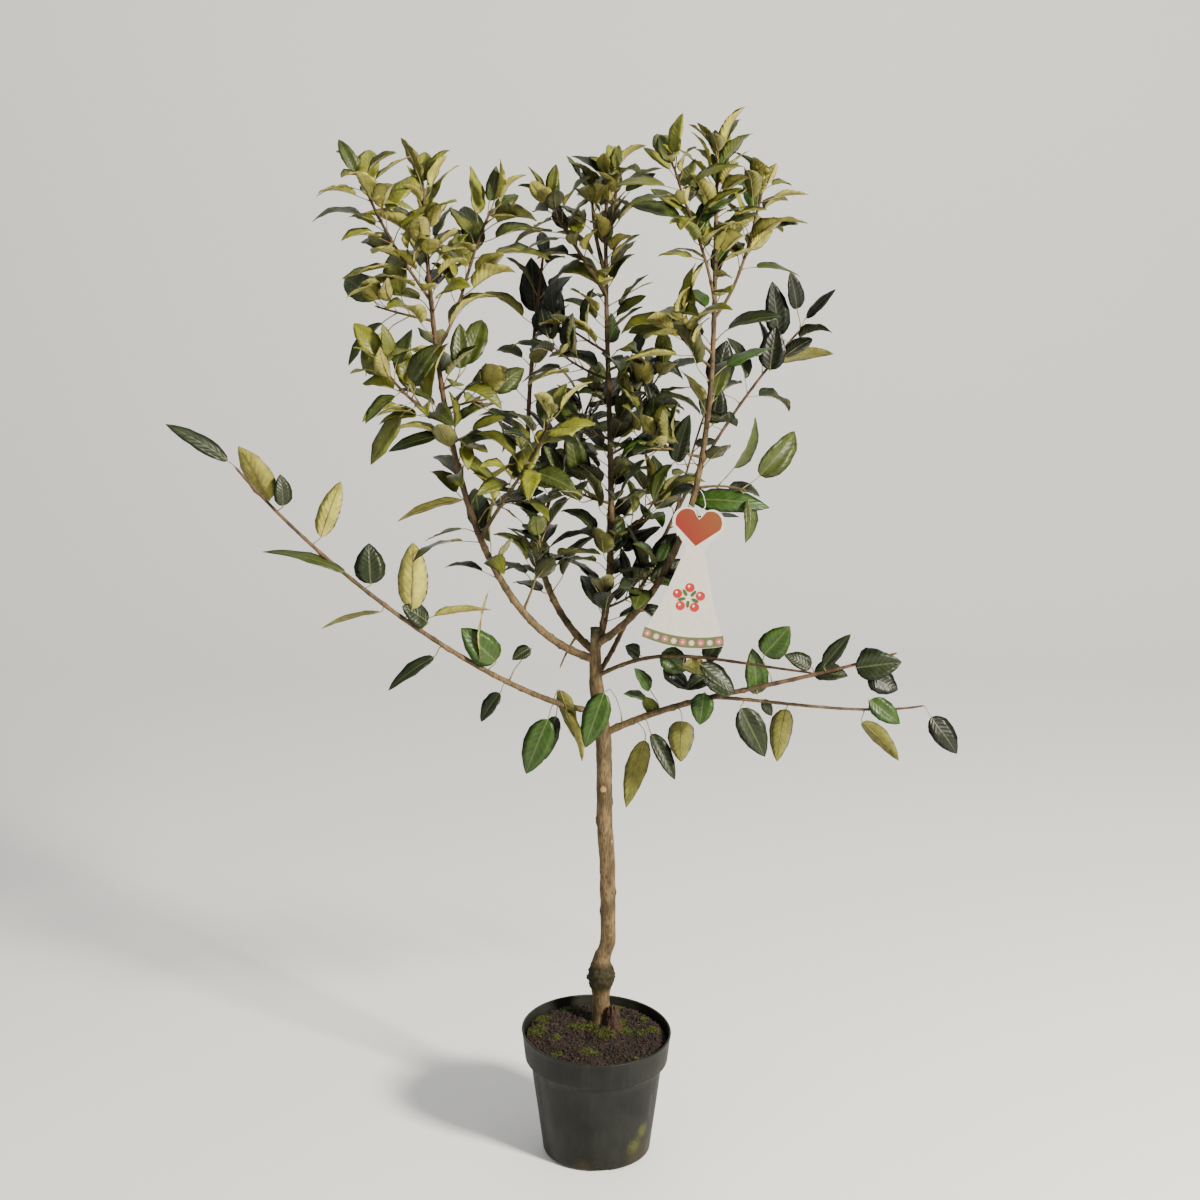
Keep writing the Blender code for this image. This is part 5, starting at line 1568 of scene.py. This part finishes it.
label_across = Vector((math.cos(LABEL_LEAN), 0, -math.sin(LABEL_LEAN)))
label_up = Vector((math.sin(LABEL_LEAN), 0, math.cos(LABEL_LEAN)))


def on_label(x, z, proud=0.0):
    return LABEL_TOP + label_across * x + label_up * z - Vector((0, proud, 0))


def label_half():
    """Right half of the label from the notch of the heart to the middle of the card's foot."""
    points = [(0.0, -0.0075)]
    for step in range(19):
        turn = math.radians(128 - 158 * step / 18)
        points.append((HEART_RADIUS * (1 + math.cos(turn)) * HEART_NARROWING,
                       -HEART_RADIUS + HEART_RADIUS * math.sin(turn)))
    points.append((CARD_NECK_WIDTH * 0.36, -HEART_HEIGHT * 0.80))
    points.append((CARD_NECK_WIDTH * 0.40, -HEART_HEIGHT * 0.88))
    points.append((CARD_NECK_WIDTH * 0.50, -HEART_HEIGHT))
    foot = CARD_FOOT_WIDTH / 2
    points.append((foot * 0.62, -CARD_HEIGHT * 0.70))
    points.append((foot, -CARD_HEIGHT + CARD_FOOT_SAG))
    for share in (0.75, 0.5, 0.25):
        points.append((foot * share, -CARD_HEIGHT + CARD_FOOT_SAG * share * share))
    points.append((0.0, -CARD_HEIGHT))
    return points


def slab(name, outline, back, front, finish):
    """A flat plate of an outline on the label, between two depths in front of its middle."""
    points = [on_label(x, z, back) for x, z in outline] + [on_label(x, z, front) for x, z in outline]
    count = len(outline)
    faces = [tuple(range(count)), tuple(reversed(range(count, 2 * count)))]
    for i in range(count):
        beside = (i + 1) % count
        faces.append((i, i + count, beside + count, beside))
    made = face_outwards(new_piece(name, points, faces, finish))
    made.data.shade_flat()
    return made


def disc(x, z, wide, tall, sides=22, lean=0.0):
    points = []
    for step in range(sides):
        turn = math.tau * step / sides
        a, b = wide * math.cos(turn), tall * math.sin(turn)
        points.append((x + a * math.cos(lean) - b * math.sin(lean),
                       z + a * math.sin(lean) + b * math.cos(lean)))
    return points


def printed_finish(name, colour, roughness=0.36):
    made, tree, shader = new_material(name)
    place = object_place(tree)
    share = between(tree, speckle(tree, place, 90.0, 3.0), 0.35, 0.65)
    dull = tuple(c * 0.90 for c in colour[:3]) + (1,)
    tree.links.new(blend_colours(tree, share, dull, tuple(colour[:3]) + (1,)), shader.inputs["Base Color"])
    tree.links.new(between(tree, share, 0, 1, roughness - 0.05, roughness + 0.07), shader.inputs["Roughness"])
    bumped(tree, shader, speckle(tree, place, 500.0, 2.0), 0.00005)
    return made


def heart_finish():
    """Warm red at the point and the left, orange at the upper right."""
    made, tree, shader = new_material("label_heart_print")
    place = object_place(tree)
    moved = put(tree, "ShaderNodeVectorMath", {0: place, 1: tuple(LABEL_TOP)},
                operation="SUBTRACT").outputs[0]
    split = put(tree, "ShaderNodeSeparateXYZ", {0: moved}).outputs
    diagonal = calculate(tree, "ADD", split["X"], calculate(tree, "MULTIPLY", split["Z"], 0.8))
    share = between(tree, diagonal, -0.055, 0.012)
    tree.links.new(blend_colours(tree, share, HEART_RED, HEART_ORANGE), shader.inputs["Base Color"])
    grain = speckle(tree, place, 300.0, 2.0)
    tree.links.new(between(tree, grain, 0.3, 0.7, 0.28, 0.38), shader.inputs["Roughness"])
    bumped(tree, shader, grain, 0.00005)
    return made


half = label_half()
card = slab("label_card", half + [(-x, z) for x, z in reversed(half[1:-1])],
            -LABEL_THICKNESS / 2, LABEL_THICKNESS / 2, printed_finish("label_card", CARD_WHITE, 0.42))
ring = [on_label(x, z, side * 0.003) for side in (-1, 1)
        for x, z in disc(0, -LABEL_HOLE_DROP, LABEL_HOLE_RADIUS, LABEL_HOLE_RADIUS)]
hole = face_outwards(new_piece("hole_pin", ring, bridge_rings(2, 22)
                               + [tuple(range(22)), tuple(reversed(range(22, 44)))]))
cut_away(card, "hole", hole)
make_plain(card)
bpy.data.objects.remove(hole)
settle(card, "label_card", "hang_label")

front = LABEL_THICKNESS / 2
INSET = 0.0026
heart_half = []
for step in range(15):
    turn = math.radians(120 - 145 * step / 14)
    heart_half.append(((HEART_RADIUS * (1 + math.cos(turn)) * HEART_NARROWING) * 0.88 + 0.0003,
                       -HEART_RADIUS + (HEART_RADIUS - INSET) * math.sin(turn)))
heart_half = [(0.0036, -LABEL_HOLE_DROP - 0.0004)] + heart_half + [(0.0, -HEART_HEIGHT * 0.74)]
heart_outline = heart_half + [(-x, z) for x, z in reversed(heart_half[:-1])]
heart_outline.append((0.0, -LABEL_HOLE_DROP - 0.0042))
heart = slab("label_heart", heart_outline, front - PRINT_SUNK, front + PRINT_PROUD, heart_finish())
settle(heart, "label_card")

prints = {name: printed_finish("print_" + name, colour) for name, colour in PRINT_COLOURS.items()}


def foot_at(x):
    share = abs(x) / (CARD_FOOT_WIDTH / 2)
    return -CARD_HEIGHT + CARD_FOOT_SAG * share * share


band_edge = CARD_FOOT_WIDTH / 2 * 0.965
band = []
for step in range(BAND_STEPS + 1):
    x = -band_edge + 2 * band_edge * step / BAND_STEPS
    band.append((x, foot_at(x) + 0.0006))
for step in range(BAND_STEPS + 1):
    x = band_edge * 0.955 - 1.91 * band_edge * step / BAND_STEPS
    band.append((x, foot_at(x) + BAND_HEIGHT))
settle(slab("label_band", band, front - PRINT_SUNK, front + PRINT_PROUD, prints["band_green"]), "label_card")


def motif(name, outlines, colour, level):
    """Several like printed shapes as one piece, at a printing level above the card."""
    parts = [slab(name, outline, front - PRINT_SUNK, front + PRINT_PROUD * level, prints[colour])
             for outline in outlines]
    points, faces = [], []
    for part in parts:
        first = len(points)
        points += [v.co.copy() for v in part.data.vertices]
        faces += [tuple(first + i for i in face.vertices) for face in part.data.polygons]
        bpy.data.objects.remove(part)
    made = new_piece(name, points, faces, prints[colour])
    made.data.shade_flat()
    settle(made, "label_card")


SCALLOPS = 9
scallop_places = [(-0.052 + 0.104 * i / (SCALLOPS - 1)) for i in range(SCALLOPS)]
for name, places, rise, radius, sides, colour, level in (
        ("label_scallops", scallop_places[::2], 0.0086, 0.0050, 22, "rose", 2),
        ("label_pale_scallops", scallop_places[1::2], 0.0082, 0.0042, 22, "blush", 2),
        ("label_scallop_eyes", scallop_places, 0.0084, 0.0016, 12, "cream", 3)):
    motif(name, [disc(x, foot_at(x) + rise, radius, radius, sides) for x in places], colour, level)
SPRIG_MIDDLE = (0.0, -0.132)
sprig_rounds = [(math.cos(math.radians(a)), math.sin(math.radians(a))) for a in (18, 90, 162, 234, 306)]
motif("label_sprig_rounds", [disc(SPRIG_MIDDLE[0] + 0.0175 * c, SPRIG_MIDDLE[1] + 0.0155 * s, 0.0068, 0.0068)
                             for c, s in sprig_rounds], "red", 2)
motif("label_sprig_lights", [disc(SPRIG_MIDDLE[0] + 0.0175 * c - 0.0016,
                                  SPRIG_MIDDLE[1] + 0.0155 * s + 0.0018,
                                  0.0019, 0.0019, 12) for c, s in sprig_rounds], "cream", 3)
motif("label_sprig_leaves", [disc(SPRIG_MIDDLE[0] + 0.0100 * math.cos(math.radians(a)),
                                  SPRIG_MIDDLE[1] + 0.0085 * math.sin(math.radians(a)),
                                  0.0062, 0.0026, 16, math.radians(a)) for a in (54, 126, 198, 270, 342)],
      "leaf_green", 1.5)
motif("label_sprig_middle", [disc(*SPRIG_MIDDLE, 0.0042, 0.0042)], "cream", 2)


def string_finish():
    made, tree, shader = new_material("label_string")
    place = object_place(tree)
    twist = speckle(tree, place, 800.0, 2.0)
    tree.links.new(blend_colours(tree, between(tree, twist, 0.4, 0.6), STRING_DULL, STRING_PALE),
                   shader.inputs["Base Color"])
    tree.links.new(between(tree, twist, 0.3, 0.7, 0.40, 0.55), shader.inputs["Roughness"])
    bumped(tree, shader, twist, 0.0003)
    return made


tie = frame["nodes"]["label_tie"]
tie.data.materials.clear()
tie.data.materials.append(string_finish())

# The studio
# A plain pale floor that curves up into a plain pale wall, a key light from the right of the
# camera, as in the photo, and weak broad fill from the left and above.
FLOOR_WIDTH = 14.0
FLOOR_FRONT = -6.0
WALL_BACK = 5.0
WALL_HEIGHT = 7.0
WALL_ROUNDING = 2.0
KEY = dict(place=(2.9, -2.7, 2.9), size=0.7, watts=560, colour=(1.0, 0.93, 0.80))
FILL = dict(place=(-3.2, -2.6, 2.0), size=3.0, watts=24, colour=(0.86, 0.93, 1.0))
TOP = dict(place=(0.2, 0.6, 4.2), size=3.0, watts=26, colour=(1.0, 1.0, 1.0))
WORLD_STRENGTH = 0.40


def backdrop():
    profile = [(FLOOR_FRONT, 0.0), (WALL_BACK - WALL_ROUNDING, 0.0)]
    for step in range(1, 13):
        turn = math.radians(90 * step / 12)
        profile.append((WALL_BACK - WALL_ROUNDING + WALL_ROUNDING * math.sin(turn),
                        WALL_ROUNDING * (1 - math.cos(turn))))
    profile.append((WALL_BACK, WALL_HEIGHT))
    points = [(side * FLOOR_WIDTH / 2, y, z) for y, z in profile for side in (-1, 1)]
    faces = [(2 * i, 2 * i + 1, 2 * i + 3, 2 * i + 2) for i in range(len(profile) - 1)]
    made, tree, shader = new_material("studio_paper")
    shader.inputs["Base Color"].default_value = (0.93, 0.93, 0.92, 1)
    shader.inputs["Roughness"].default_value = 0.9
    return new_piece("studio_floor", points, faces, made)


def lamp(name, row, target=(0, 0, 0.85)):
    data = bpy.data.lights.new(name, "AREA")
    data.size = row["size"]
    data.energy = row["watts"]
    data.color = row["colour"]
    made = bpy.data.objects.new(name, data)
    made.location = row["place"]
    made.rotation_euler = (Vector(target) - Vector(row["place"])).to_track_quat("-Z", "Y").to_euler()
    bpy.context.scene.collection.objects.link(made)


backdrop()
lamp("key", KEY)
lamp("fill", FILL)
lamp("top", TOP)
world = bpy.data.worlds.new("studio")
world.use_nodes = True
world.node_tree.nodes["Background"].inputs["Color"].default_value = (1.0, 1.0, 1.0, 1)
world.node_tree.nodes["Background"].inputs["Strength"].default_value = WORLD_STRENGTH
bpy.context.scene.world = world
